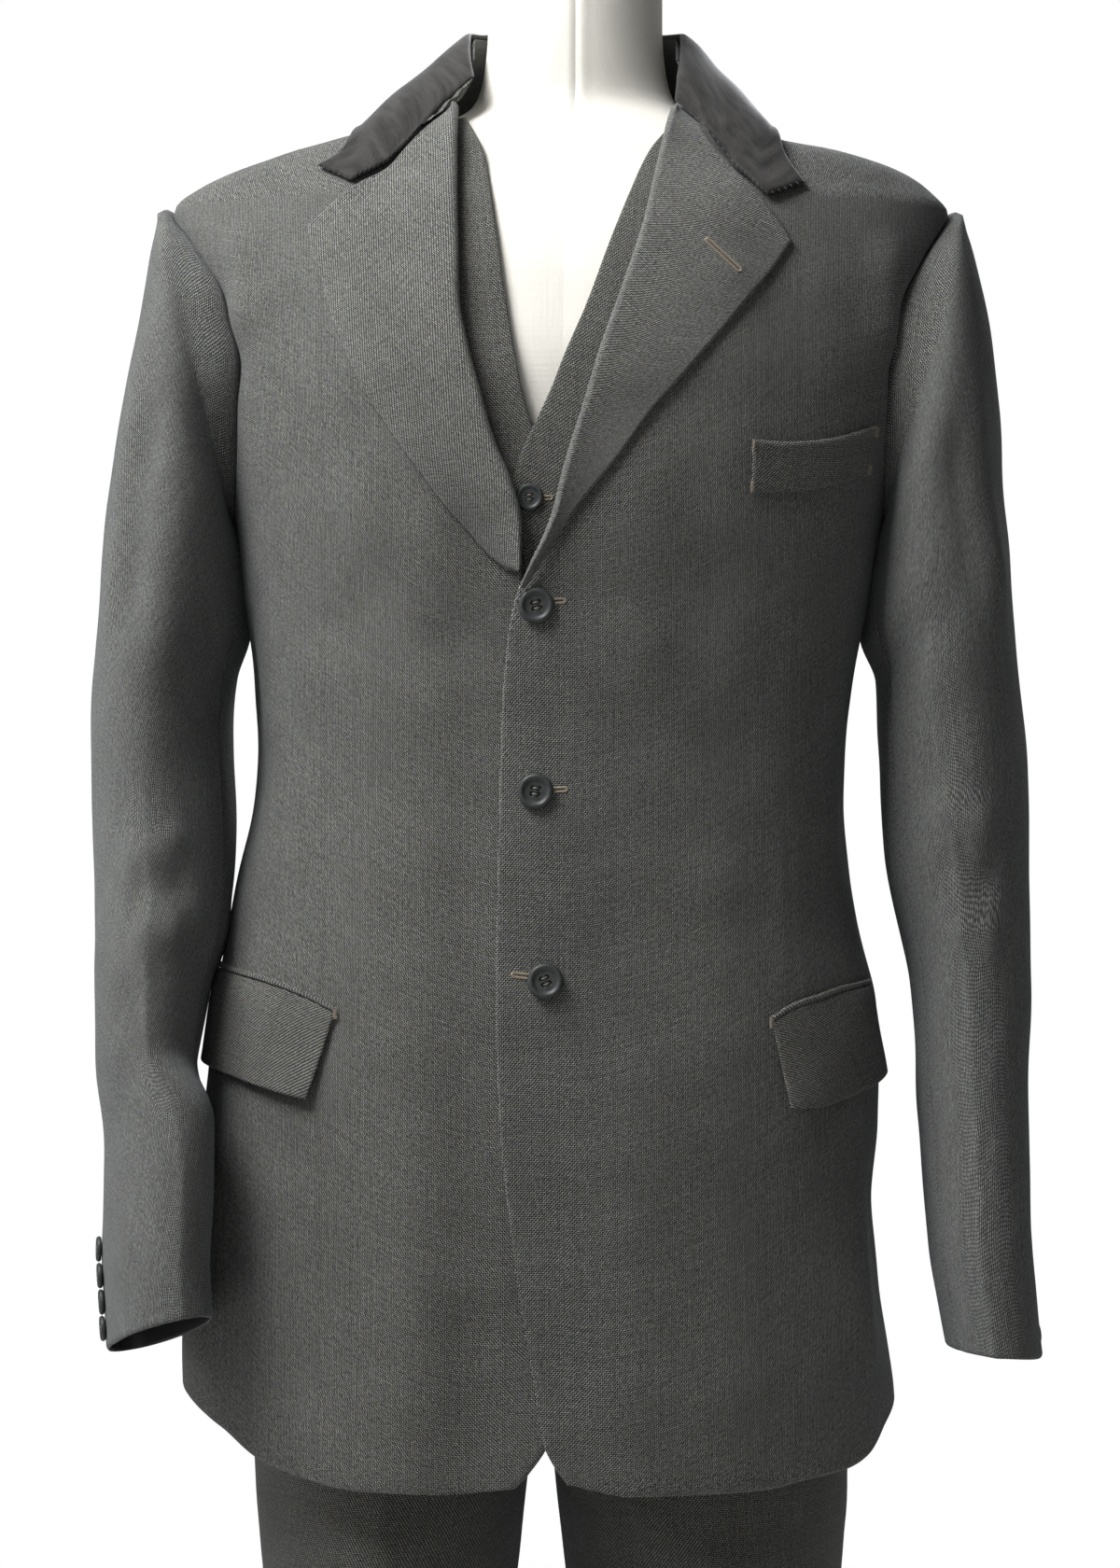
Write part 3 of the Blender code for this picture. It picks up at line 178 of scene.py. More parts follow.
def build(name, points, faces, looks, node=None, sharp=None, spots=None, second=(), aim=None):
    """A piece with smooth shading that breaks where faces turn by more than sharp degrees.

    spots places each vertex on the cloth, in metres. second numbers the look of each face. aim
    moves the piece from where it is drawn to its place.
    """
    mesh = bpy.data.meshes.new(name)
    mesh.from_pydata(points, [], faces)
    if spots is not None:
        layer = mesh.uv_layers.new(name="weave")
        corners = np.zeros(len(mesh.loops), int)
        mesh.loops.foreach_get("vertex_index", corners)
        layer.data.foreach_set("uv", spots[corners].ravel())
    if aim is not None:
        mesh.transform(aim)
    for look in looks:
        mesh.materials.append(look)
    if len(second):
        mesh.polygons.foreach_set("material_index", second)
    mesh.shade_smooth()
    if sharp is not None:
        mesh.set_sharp_from_angle(angle=math.radians(sharp))
    piece = bpy.data.objects.new(name, mesh)
    bpy.context.scene.collection.objects.link(piece)
    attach(piece, "root")
    if node is not None:
        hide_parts(node)
    return piece


def turned(name, node, profile, spot, segments, look):
    """A turned solid from (radius, height) pairs, from the middle underneath to the middle on top."""
    points, faces, rings = [], [], []
    for radius, height in profile:
        count = segments if radius > 0.0 else 1
        rings.append(range(len(points), len(points) + count))
        for i in range(count):
            angle = 2.0 * math.pi * i / segments
            points.append((spot[0] + radius * math.cos(angle), spot[1] + radius * math.sin(angle),
                           spot[2] + height))
    for low, high in zip(rings, rings[1:]):
        for i in range(segments):
            after = (i + 1) % segments
            if len(low) == 1:
                faces.append((low[0], high[after], high[i]))
            elif len(high) == 1:
                faces.append((low[i], low[after], high[0]))
            else:
                faces.append((low[i], low[after], high[after], high[i]))
    build(name, points, faces, [look], node, sharp=35.0)


def rounded(corners):
    """Profile with each inner corner of (radius, height, rounding) cut by a quarter round."""
    profile = []
    for i, (radius, height, size) in enumerate(corners):
        if size == 0.0:
            profile.append((radius, height))
            continue
        here = Vector((radius, height))
        before = (Vector(corners[i - 1][:2]) - here).normalized() * size
        after = (Vector(corners[i + 1][:2]) - here).normalized() * size
        for share in (0.0, 0.2, 0.4, 0.6, 0.8, 1.0):
            point = here + before * (1.0 - share) ** 2 + after * share ** 2
            profile.append((point.x, point.y))
    return profile


iron = paint_look("satin_black_iron", (0.020, 0.020, 0.021), 0.45, 0.15)
lacquer = paint_look("black_lacquered_wood", (0.022, 0.020, 0.019), 0.35, 0.4)
socket_foot = FORM_FOOT - SEAM - SOCKET_HEIGHT
pole_length = socket_foot - BASE_HEIGHT - 2.0 * SEAM
turned("round_base", "stand_base", rounded((
    (0.0, 0.0, 0.0), (BASE_RADIUS, 0.0, 0.002), (BASE_RADIUS, 0.0095, 0.0025),
    (BASE_RADIUS - 0.006, BASE_HEIGHT - 0.0006, 0.003), (0.150, BASE_HEIGHT - 0.0006, 0.001),
    (0.148, BASE_HEIGHT, 0.001), (0.0, BASE_HEIGHT, 0.0),
)), (0.0, 0.0, 0.0), 160, iron)
turned("pole", "stand_pole", rounded((
    (0.0, 0.0, 0.0), (POLE_RADIUS, 0.0, 0.0006), (POLE_RADIUS, pole_length, 0.0006),
    (0.0, pole_length, 0.0),
)), (*POLE_PLACE, BASE_HEIGHT + SEAM), 64, iron)
turned("socket_plate", "stand_socket", rounded((
    (0.0, 0.0, 0.0), (SOCKET_RADIUS * 0.94, 0.0, 0.001), (SOCKET_RADIUS, 0.002, 0.001),
    (SOCKET_RADIUS, SOCKET_HEIGHT, 0.0006), (0.0, SOCKET_HEIGHT, 0.0),
)), (*POLE_PLACE, socket_foot), 64, iron)
turned("neck_cap", "form_neck_cap", rounded((
    (0.0, 0.0, 0.0), (0.0485, 0.0, 0.001), (0.0500, 0.003, 0.0015), (0.0490, 0.010, 0.004),
    (0.0300, 0.0165, 0.008), (0.0, 0.018, 0.0),
)), (*NECK_MIDDLE, NECK_TOP + SEAM), 96, lacquer)


# ---- the linen form ----------------------------------------------------------------------------
# A padded torso with no limbs, covered in plain off-white linen that is drawn tight and sewn down
# the front, the sides and the back. The suit's own sections, drawn in, give its shape.
COAT_SECTIONS = (
    # height, half width, front depth, back depth, middle x, squareness
    (0.690, 0.2108, 0.1360, 0.1400, -0.012, 2.35),
    (0.745, 0.2095, 0.1350, 0.1395, -0.013, 2.35),
    (0.800, 0.2050, 0.1330, 0.1380, -0.0155, 2.35),
    (0.850, 0.2022, 0.1310, 0.1360, -0.0165, 2.35),
    (0.900, 0.2000, 0.1290, 0.1330, -0.0115, 2.35),
    (0.970, 0.1955, 0.1250, 0.1240, -0.009, 2.35),
    (1.020, 0.1845, 0.1210, 0.1120, -0.009, 2.35),
    (1.108, 0.1735, 0.1180, 0.1030, -0.005, 2.30),
    (1.152, 0.1770, 0.1190, 0.1050, -0.004, 2.30),
    (1.200, 0.1835, 0.1210, 0.1110, -0.002, 2.30),
    (1.260, 0.1930, 0.1240, 0.1190, 0.000, 2.30),
    (1.320, 0.2060, 0.1220, 0.1260, 0.001, 2.30),
    (1.370, 0.2170, 0.1120, 0.1240, 0.002, 2.25),
    (1.410, 0.2260, 0.0980, 0.1160, 0.002, 2.20),
    (1.434, 0.2285, 0.0860, 0.1080, 0.002, 2.15),
    (1.446, 0.2170, 0.0780, 0.1030, 0.002, 2.10),
    (1.457, 0.1980, 0.0720, 0.0990, 0.002, 2.10),
    (1.468, 0.1690, 0.0670, 0.0940, 0.003, 2.10),
    (1.479, 0.1250, 0.0600, 0.0880, 0.004, 2.10),
    (1.490, 0.0930, 0.0520, 0.0840, 0.006, 2.10),
    (1.500, 0.0760, 0.0460, 0.0800, 0.008, 2.10),
    (1.512, 0.0690, 0.0420, 0.0765, 0.009, 2.10),
    (1.525, 0.0650, 0.0400, 0.0720, 0.009, 2.10),
)
LAYER_DEPTHS = (
    # height, waistcoat, form: how far each lies inside the jacket
    (0.850, 0.0104, 0.0300),
    (0.960, 0.0104, 0.0230),
    (1.015, 0.0104, 0.0182),
    (1.030, 0.0104, 0.0170),
    (1.055, 0.0104, 0.0170),
    (1.110, 0.0104, 0.0176),
    (1.200, 0.0104, 0.0190),
    (1.280, 0.0096, 0.0170),
    (1.350, 0.0070, 0.0132),
    (1.400, 0.0048, 0.0094),
    (1.440, 0.0036, 0.0073),
    (1.500, 0.0036, 0.0084),
)
FORM_HEIGHTS = (FORM_FOOT, 0.905, 0.950, 1.000, 1.040, 1.075, 1.110, 1.160, 1.210, 1.270, 1.330,
                1.380, 1.415, 1.440, 1.457, 1.470, 1.481)
NECK_ROWS = (
    # height, half width, front depth, back depth
    (1.500, 0.0600, 0.0480, 0.0590),
    (1.520, 0.0535, 0.0500, 0.0565),
    (1.545, 0.0515, 0.0520, 0.0560),
    (1.570, 0.0515, 0.0530, 0.0550),
    (NECK_TOP, 0.0510, 0.0530, 0.0545),
)
SHOULDER_START, SHOULDER_END, SHOULDER_ROUND = 1.200, 0.178, 0.026
FORM_SEGMENTS = 144
LINEN_YARN = 0.00062


def curve(points, at):
    """Smooth curve through (place, value) pairs that never overshoots them; values may be arrays."""
    places = np.array([point[0] for point in points], float)
    values = np.array([point[1] for point in points], float)
    at = np.clip(np.asarray(at, float), places[0], places[-1])
    extra = (1,) * (values.ndim - 1)
    runs = np.diff(places)
    slopes = np.diff(values, axis=0) / runs.reshape((-1,) + extra)
    before, after = slopes[:-1], slopes[1:]
    same = before * after > 0.0
    total = np.where(same, before + after, 1.0)
    tangents = np.concatenate((slopes[:1], np.where(same, 2.0 * before * after / total, 0.0), slopes[-1:]))
    step = np.clip(np.searchsorted(places, at, side="right") - 1, 0, len(places) - 2)
    run = runs[step]
    share = ((at - places[step]) / run).reshape(at.shape + extra)
    run = run.reshape(at.shape + extra)
    ahead = share - 1.0
    return (
        values[step] * (1.0 + 2.0 * share) * ahead ** 2
        + values[step + 1] * share ** 2 * (3.0 - 2.0 * share)
        + run * share * ahead * (ahead * tangents[step] + share * tangents[step + 1])
    )


def column(rows, index, at):
    return curve([(row[0], row[index]) for row in rows], at)


def ease(share):
    share = np.clip(share, 0.0, 1.0)
    return share * share * (3.0 - 2.0 * share)


def unit(vectors):
    return vectors / np.maximum(np.linalg.norm(vectors, axis=-1, keepdims=True), 1e-12)


def coat_raw(side, turn, height):
    """Outer side of the jacket: turn is 0 at the front, 90 at the side, 180 at the back."""
    turn, height = np.broadcast_arrays(np.asarray(turn, float), np.asarray(height, float))
    width, front, back, middle, square = [column(COAT_SECTIONS, i, height) for i in range(1, 6)]
    sine, cosine = np.sin(np.radians(turn)), np.cos(np.radians(turn))
    across = np.sign(sine) * np.abs(sine) ** (2.0 / square)
    along = np.abs(cosine) ** (2.0 / square)
    depth = np.where(cosine > 0.0, -front * along, back * along)
    return np.stack((middle + side * width * across, depth, height), axis=-1)


def coat_normal(side, turn, height):
    turn, height = np.asarray(turn, float), np.asarray(height, float)
    around = coat_raw(side, turn + 0.5, height) - coat_raw(side, turn - 0.5, height)
    upward = coat_raw(side, turn, height + 0.001) - coat_raw(side, turn, height - 0.001)
    return side * unit(np.cross(around, upward))


def finer(grid, count, start=0.0):
    """A grid of points with its rows drawn again, as many as asked, on smooth curves."""
    steps = np.linalg.norm(np.diff(grid, axis=0), axis=-1).mean(axis=1)
    places = np.concatenate(([0.0], np.cumsum(steps)))
    return curve(list(zip(places, grid)), np.linspace(start, places[-1], count))


def laid_out(grid):
    """Lengths along the rows and down the columns of a grid, in metres, as a place on the cloth."""
    across = np.linalg.norm(np.diff(grid, axis=1), axis=-1)
    down = np.linalg.norm(np.diff(grid, axis=0), axis=-1)
    u = np.concatenate((np.zeros((len(grid), 1)), np.cumsum(across, axis=1)), axis=1)
    v = np.concatenate((np.zeros((1, grid.shape[1])), np.cumsum(down, axis=0)), axis=0)
    return u, v


def quad_grid(rows, columns):
    """Vertex numbers of a grid and its faces, row by row."""
    number = np.arange(rows * columns).reshape(rows, columns)
    quads = np.stack((number[:-1, :-1], number[:-1, 1:], number[1:, 1:], number[1:, :-1]), axis=-1)
    return number, quads.reshape(-1, 4)


def linen_look():
    """Plain weave with slubs and thin places, and painted shade in the hollows between the yarns."""
    look, tree, shader = finish("plain_linen", 0.85, Sheen_Weight=0.15)
    flat = add(tree, "UVMap", uv_map="weave").outputs[0]
    split = add(tree, "SeparateXYZ", {0: flat}).outputs
    u = maths(tree, "DIVIDE", split[0], LINEN_YARN)
    v = maths(tree, "DIVIDE", split[1], LINEN_YARN)
    across, down = maths(tree, "FLOOR", u), maths(tree, "FLOOR", v)
    over = maths(tree, "FLOORED_MODULO", maths(tree, "ADD", across, down), 2.0)
    mound = maths(tree, "MULTIPLY", maths(tree, "SINE", maths(tree, "MULTIPLY", u, math.pi)),
                  maths(tree, "SINE", maths(tree, "MULTIPLY", v, math.pi)))
    mound = maths(tree, "ABSOLUTE", mound)
    warp = add(tree, "TexWhiteNoise", {"W": across}, noise_dimensions="1D").outputs[0]
    weft = add(tree, "TexWhiteNoise", {"W": down}, noise_dimensions="1D").outputs[0]
    yarn = add(tree, "Mix", {0: over, 2: warp, 3: weft}, data_type="FLOAT").outputs[0]
    cloud = noise(tree, flat, 14.0, 4.0)
    # Painted shade: the mound makes each yarn's crown paler, so the colour darkens into the hollows between
    # the yarns.
    tone = maths(tree, "ADD", maths(tree, "MULTIPLY", yarn, 0.26), maths(tree, "MULTIPLY", mound, 0.30))
    tone = maths(tree, "ADD", tone, maths(tree, "MULTIPLY", cloud, 0.50))
    colour = blend(tree, tone, (0.72, 0.69, 0.62), (0.94, 0.92, 0.86))
    rise = maths(tree, "ADD", mound, maths(tree, "MULTIPLY", yarn, 0.6))
    dress(tree, shader, colour, rise, 0.4, 0.00025)
    return look


def form_rings():
    """Rings of the torso and of the neck, from the foot up."""
    turn = np.linspace(0.0, 360.0, FORM_SEGMENTS + 1)
    side = np.where(turn <= 180.0, 1.0, -1.0)
    half_turn = np.minimum(turn, 360.0 - turn)
    rings = []
    for height in FORM_HEIGHTS:
        level = np.full(turn.shape, height)
        point = coat_raw(1.0, half_turn, level)
        middle = float(column(COAT_SECTIONS, 4, height))
        out = coat_normal(1.0, half_turn, level)
        point[:, 0] = middle + side * (point[:, 0] - middle)
        out[:, 0] *= side
        if height < SHOULDER_START:
            out[:, 2] = 0.0
            out = unit(out)
        point = point - out * float(column(LAYER_DEPTHS, 2, height))
        reach = np.abs(point[:, 0] - middle)
        start = SHOULDER_END - SHOULDER_ROUND
        past = np.maximum(reach - start, 0.0)
        reach = np.minimum(reach, start) + SHOULDER_ROUND * (1.0 - np.exp(-past / SHOULDER_ROUND))
        point[:, 0] = middle + np.sign(point[:, 0] - middle) * reach
        rings.append(point)
    for height, width, front, back in NECK_ROWS:
        angle = np.radians(turn)
        depth = np.where(np.cos(angle) > 0.0, front, back)
        rings.append(np.stack((NECK_MIDDLE[0] + width * np.sin(angle),
                               NECK_MIDDLE[1] - depth * np.cos(angle),
                               np.full(turn.shape, height)), axis=-1))
    return finer(np.array(rings), 120)


rings = form_rings()
u, v = laid_out(rings)
u = u - u[:, FORM_SEGMENTS // 2:FORM_SEGMENTS // 2 + 1]
# Each seam is a fine valley between two slightly raised seam allowances.
away = np.abs(np.stack([u - u[:, int(FORM_SEGMENTS * share):int(FORM_SEGMENTS * share) + 1]
                        for share in (0.0, 0.25, 0.5, 0.75, 1.0)])).min(axis=0)
around = np.gradient(rings, axis=1)
upward = np.gradient(rings, axis=0)
out = unit(np.cross(around, upward))
rise = 0.0005 * np.exp(-((away - 0.004) / 0.003) ** 2) - 0.0006 * np.exp(-(away / 0.0009) ** 2)
rings = rings + out * rise[..., None]
number, quads = quad_grid(*rings.shape[:2])
points = np.concatenate((rings.reshape(-1, 3), [rings[0].mean(axis=0), rings[-1].mean(axis=0)]))
spots = np.concatenate((np.stack((u, v), axis=-1).reshape(-1, 2), [(0.0, -0.1), (0.0, 1.0)]))
foot, head = len(points) - 2, len(points) - 1
faces = quads.tolist()
faces += [(after, here, foot) for here, after in zip(number[0, :-1].tolist(), number[0, 1:].tolist())]
faces += [(here, after, head) for here, after in zip(number[-1, :-1].tolist(), number[-1, 1:].tolist())]
build("linen_form", points.tolist(), faces, [linen_look()], "form_body", 50.0, spots)


# ---- the trousers ------------------------------------------------------------------------------
# Two fronts and two backs of the suit's wool sharkskin, sewn at the side and inside the leg, with
# a waistband in two halves. A crease is pressed down the front and the back of each leg.
TROUSER_CLOTH = 0.0014
TROUSER_HEM = 0.035
TROUSER_HEM_ROWS = (0.0460, 0.0420, 0.0385, 0.0368, TROUSER_HEM + 0.0006, TROUSER_HEM)
WAISTBAND = (1.0190, 1.0540)
WAISTBAND_DEPTH = 0.0147
TROUSER_TOP = 1.0185
SEWN = 0.00004                       # half of what is left open between two edges sewn together
YARN, PICK = 0.000455, 0.000543      # pitch of the yarns across and down the cloth
INNER_RIM_WIDTH, INNER_RIM_SHARE = 0.0012, 0.22     # the lining side rises by that share at its rim
TROUSER_SECTIONS = (
    # height, middle x, inner, right outer, left outer, front depth, back depth, squareness
    (0.035, -0.011, 0.0500, 0.1480, 0.1540, 0.0830, 0.1030, 1.80),
    (0.250, -0.011, 0.0440, 0.1510, 0.1580, 0.0880, 0.1020, 1.80),
    (0.450, -0.011, 0.0340, 0.1560, 0.1660, 0.0940, 0.1030, 1.80),
    (0.600, -0.011, 0.0180, 0.1630, 0.1760, 0.0990, 0.1060, 1.85),
    (0.687, -0.011, 0.0080, 0.1680, 0.1810, 0.1020, 0.1090, 1.85),
    (0.745, -0.011, 0.0008, 0.1720, 0.1830, 0.1040, 0.1120, 1.90),
    (0.762, -0.011, -0.0100, 0.1740, 0.1830, 0.1050, 0.1140, 1.90),
    (0.790, -0.011, -0.0360, 0.1770, 0.1840, 0.1070, 0.1170, 2.00),
    (0.830, -0.011, -0.0850, 0.1800, 0.1840, 0.1090, 0.1190, 2.10),
    (0.880, -0.011, -0.1550, 0.1830, 0.1840, 0.1100, 0.1190, 2.25),
    (0.920, -0.010, -0.1830, 0.1830, 0.1830, 0.1100, 0.1160, 2.30),
    (0.970, -0.009, -0.1790, 0.1790, 0.1790, 0.1085, 0.1080, 2.35),
    (1.018, -0.009, -0.1698, 0.1698, 0.1698, 0.1062, 0.0975, 2.35),
)
SIDES = {"left": 1.0, "right": -1.0}
TROUSER_CREASES = (
    # half width, rise, leg, panel, (share across, height) places
    (0.010, 0.0026, "left", "front", ((0.30, 0.700), (0.46, 0.665), (0.66, 0.650))),
    (0.012, -0.0022, "left", "front", ((0.22, 0.600), (0.45, 0.560), (0.70, 0.575))),
    (0.011, 0.0024, "left", "front", ((0.20, 0.470), (0.42, 0.452), (0.62, 0.470))),
    (0.013, 0.0022, "left", "front", ((0.30, 0.120), (0.48, 0.105), (0.72, 0.118))),
    (0.010, 0.0024, "right", "front", ((0.26, 0.690), (0.48, 0.668), (0.70, 0.678))),
    (0.012, -0.0020, "right", "front", ((0.20, 0.520), (0.44, 0.500), (0.66, 0.520))),
    (0.011, 0.0022, "right", "front", ((0.25, 0.450), (0.50, 0.425), (0.74, 0.440))),
    (0.013, 0.0020, "right", "front", ((0.26, 0.100), (0.50, 0.085), (0.72, 0.100))),
    (0.012, 0.0032, "left", "back", ((0.16, 0.760), (0.40, 0.720), (0.62, 0.725))),
    (0.013, 0.0028, "left", "back", ((0.20, 0.500), (0.45, 0.470), (0.72, 0.490))),
    (0.012, -0.0024, "left", "back", ((0.22, 0.450), (0.48, 0.425), (0.70, 0.440))),
    (0.012, 0.0032, "right", "back", ((0.18, 0.750), (0.42, 0.712), (0.66, 0.720))),
    (0.013, 0.0026, "right", "back", ((0.18, 0.480), (0.44, 0.455), (0.70, 0.470))),
    (0.012, -0.0024, "right", "back", ((0.22, 0.430), (0.50, 0.405), (0.72, 0.420))),
)


def suiting_look(name, tilt=0.0, tone=1.0, warm=0.0):
    """Wool sharkskin: pale and dark yarns take turns both ways and make small flecks on a slant."""
    look, tree, shader = finish(name, 0.82, Sheen_Weight=0.10, Sheen_Roughness=0.5,
                                Sheen_Tint=(0.85, 0.90, 1.0, 1.0), Specular_IOR_Level=0.25)
    flat = add(tree, "UVMap", uv_map="weave").outputs[0]
    laid = add(tree, "Mapping", {"Vector": flat, "Rotation": (0.0, 0.0, math.radians(tilt))}).outputs[0]
    drift = add(tree, "TexNoise", {"Vector": laid, "Scale": 130.0, "Detail": 2.0}).outputs[1]
    drift = add(tree, "VectorMath", {0: drift, 1: (0.5, 0.5, 0.5)}, operation="SUBTRACT").outputs[0]
    drift = add(tree, "VectorMath", {0: drift, 3: 0.0008}, operation="SCALE").outputs[0]
    laid = add(tree, "VectorMath", {0: laid, 1: drift}, operation="ADD").outputs[0]
    split = add(tree, "SeparateXYZ", {0: laid}).outputs
    u, v = maths(tree, "DIVIDE", split[0], YARN), maths(tree, "DIVIDE", split[1], PICK)
    warp_number, weft_number = maths(tree, "FLOOR", u), maths(tree, "FLOOR", v)
    step = maths(tree, "FLOORED_MODULO", maths(tree, "SUBTRACT", warp_number, weft_number), 4.0)
    over = maths(tree, "LESS_THAN", step, 1.5)
    warp_pale = maths(tree, "LESS_THAN", maths(tree, "FLOORED_MODULO", warp_number, 2.0), 0.5)
    weft_pale = maths(tree, "GREATER_THAN", maths(tree, "FLOORED_MODULO", weft_number, 2.0), 0.5)
    pale = add(tree, "Mix", {0: over, 2: weft_pale, 3: warp_pale}, data_type="FLOAT").outputs[0]
    # Each yarn is a little rounder, paler, bluer or browner than the next one.
    warp_luck = add(tree, "TexWhiteNoise", {"W": warp_number}, noise_dimensions="1D").outputs[0]
    weft_luck = add(tree, "TexWhiteNoise", {"W": maths(tree, "ADD", weft_number, 71.3)},
                    noise_dimensions="1D").outputs[0]
    luck = add(tree, "Mix", {0: over, 2: weft_luck, 3: warp_luck}, data_type="FLOAT").outputs[0]
    speck = noise(tree, laid, 620.0, 2.0)
    long_warp = add(tree, "Mapping", {"Vector": laid, "Scale": (900.0, 45.0, 1.0)}).outputs[0]
    long_weft = add(tree, "Mapping", {"Vector": laid, "Scale": (45.0, 900.0, 1.0)}).outputs[0]
    slub = maths(tree, "MULTIPLY", noise(tree, long_warp, 1.0, 2.0), noise(tree, long_weft, 1.0, 2.0))
    cloud = noise(tree, flat, 22.0, 3.0)
    yarn_turn = add(tree, "Mix", {0: over, 2: v, 3: u}, data_type="FLOAT").outputs[0]
    round_yarn = maths(tree, "ABSOLUTE", maths(tree, "SINE", maths(tree, "MULTIPLY", yarn_turn, math.pi)))
    strength = maths(tree, "MULTIPLY_ADD", luck, 0.22, 0.60)
    strength = maths(tree, "MULTIPLY", strength, maths(tree, "MULTIPLY_ADD", speck, 2.6, -0.30))
    # Painted shade: round_yarn is each yarn's rounded profile, used for the bump and also to darken each pale
    # yarn towards its edges.
    strength = maths(tree, "MULTIPLY", strength,
                     maths(tree, "MULTIPLY_ADD", maths(tree, "POWER", round_yarn, 2.0), 0.85, 0.15))
    amount = maths(tree, "MULTIPLY", pale, strength)
    tinge = noise(tree, laid, 240.0, 2.0)
    hue = blend(tree, tinge, (0.43, 0.47, 0.48), (0.51, 0.49, 0.40))
    ground_hue = blend(tree, tinge, (0.004, 0.005, 0.009), (0.010, 0.007, 0.006))
    colour = blend(tree, amount, ground_hue, hue)
    # shade is the random tone of slubs and broad clouds, times tone, which paints light on a whole piece
    # above 1 and shade below 1.
    shade = maths(tree, "MULTIPLY", maths(tree, "MULTIPLY_ADD", slub, 1.2, 0.70),
                  maths(tree, "MULTIPLY_ADD", cloud, 0.30, 0.85))
    shade = maths(tree, "MULTIPLY", shade, tone)
    colour = add(tree, "VectorMath", {0: colour, 3: shade}, operation="SCALE").outputs[0]
    tint = (1.0 + 0.10 * warm, 1.0, 1.0 - 0.12 * warm)
    colour = add(tree, "VectorMath", {0: colour, 1: tint}, operation="MULTIPLY").outputs[0]
    rise = maths(tree, "ADD", round_yarn, maths(tree, "MULTIPLY", slub, 2.0))
    dress(tree, shader, colour, rise, 0.45, 0.00022)
    return look


def lining_look(name, tone):
    """Twilled lining, close and slightly glossy, with faint ribs."""
    look, tree, shader = finish(name, 0.42)
    flat = add(tree, "UVMap", uv_map="weave").outputs[0]
    laid = add(tree, "Mapping", {"Vector": flat, "Rotation": (0.0, 0.0, 0.8), "Scale": (2600.0, 90.0, 1.0)})
    rib = noise(tree, laid.outputs[0], 1.0, 3.0)
    dress(tree, shader, blend(tree, rib, tone, [1.8 * part for part in tone]), rib, 0.3, 0.0002)
    return look


def near(points, line):
    """Distance of points from a line through a few places, and how far along it each one is."""
    line = np.asarray(line, float)
    lengths = np.linalg.norm(np.diff(line, axis=0), axis=-1)
    starts = np.concatenate(([0.0], np.cumsum(lengths)))
    best = np.full(points.shape[:-1], 1e9)
    along = np.zeros(points.shape[:-1])
    for number, (head, tail) in enumerate(zip(line, line[1:])):
        step = tail - head
        share = np.clip(((points - head) @ step) / (step @ step), 0.0, 1.0)
        away = np.linalg.norm(points - head - share[..., None] * step, axis=-1)
        nearer = away < best
        best = np.where(nearer, away, best)
        along = np.where(nearer, (starts[number] + share * lengths[number]) / starts[-1], along)
    return best, along


def smoothed(line):
    """A line through a few places drawn as a smooth curve."""
    places = np.linspace(0.0, 1.0, len(line))
    return curve(list(zip(places, np.asarray(line, float))), np.linspace(0.0, 1.0, 4 * len(line) - 3))


def ridge(points, line, half_width, rise):
    """A soft ridge or trough along a line: uneven on its way and gone at both ends."""
    total = np.zeros(points.shape[:-1])
    reach = 3.4 * half_width
    close = np.all((points > line.min(axis=0) - reach) & (points < line.max(axis=0) + reach), axis=-1)
    if not close.any():
        return total
    away, along = near(points[close], line)
    fade = ease(along / 0.35) * ease((1.0 - along) / 0.35)
    wander = 1.0 + 0.25 * np.sin(along * 9.0 + 40.0 * half_width)
    total[close] = rise * fade * wander * np.exp(-(away / (half_width * (0.8 + 0.5 * along))) ** 2)
    return total


def uneven(points, size, rise, seed):
    """Slow, shallow unevenness of hung cloth, the same each time."""
    luck = np.random.default_rng(seed)
    total = np.zeros(points.shape[:-1])
    for _ in range(6):
        direction = luck.normal(size=3)
        direction /= np.linalg.norm(direction)
        total += np.sin(points @ direction * 2.0 * math.pi / (size * luck.uniform(0.7, 1.5))
                        + luck.uniform(0.0, 6.3))
    return rise * total / 2.4


def places_with_edges(count, near_edges=(0.0, 0.0025, 0.006, 0.012, 0.022)):
    """Shares from 0 to 1, evenly spaced but closer together at both ends."""
    low = list(near_edges)
    middle = np.linspace(near_edges[-1], 1.0 - near_edges[-1], count)[1:-1]
    return np.array(low + list(middle) + [1.0 - share for share in reversed(low)])


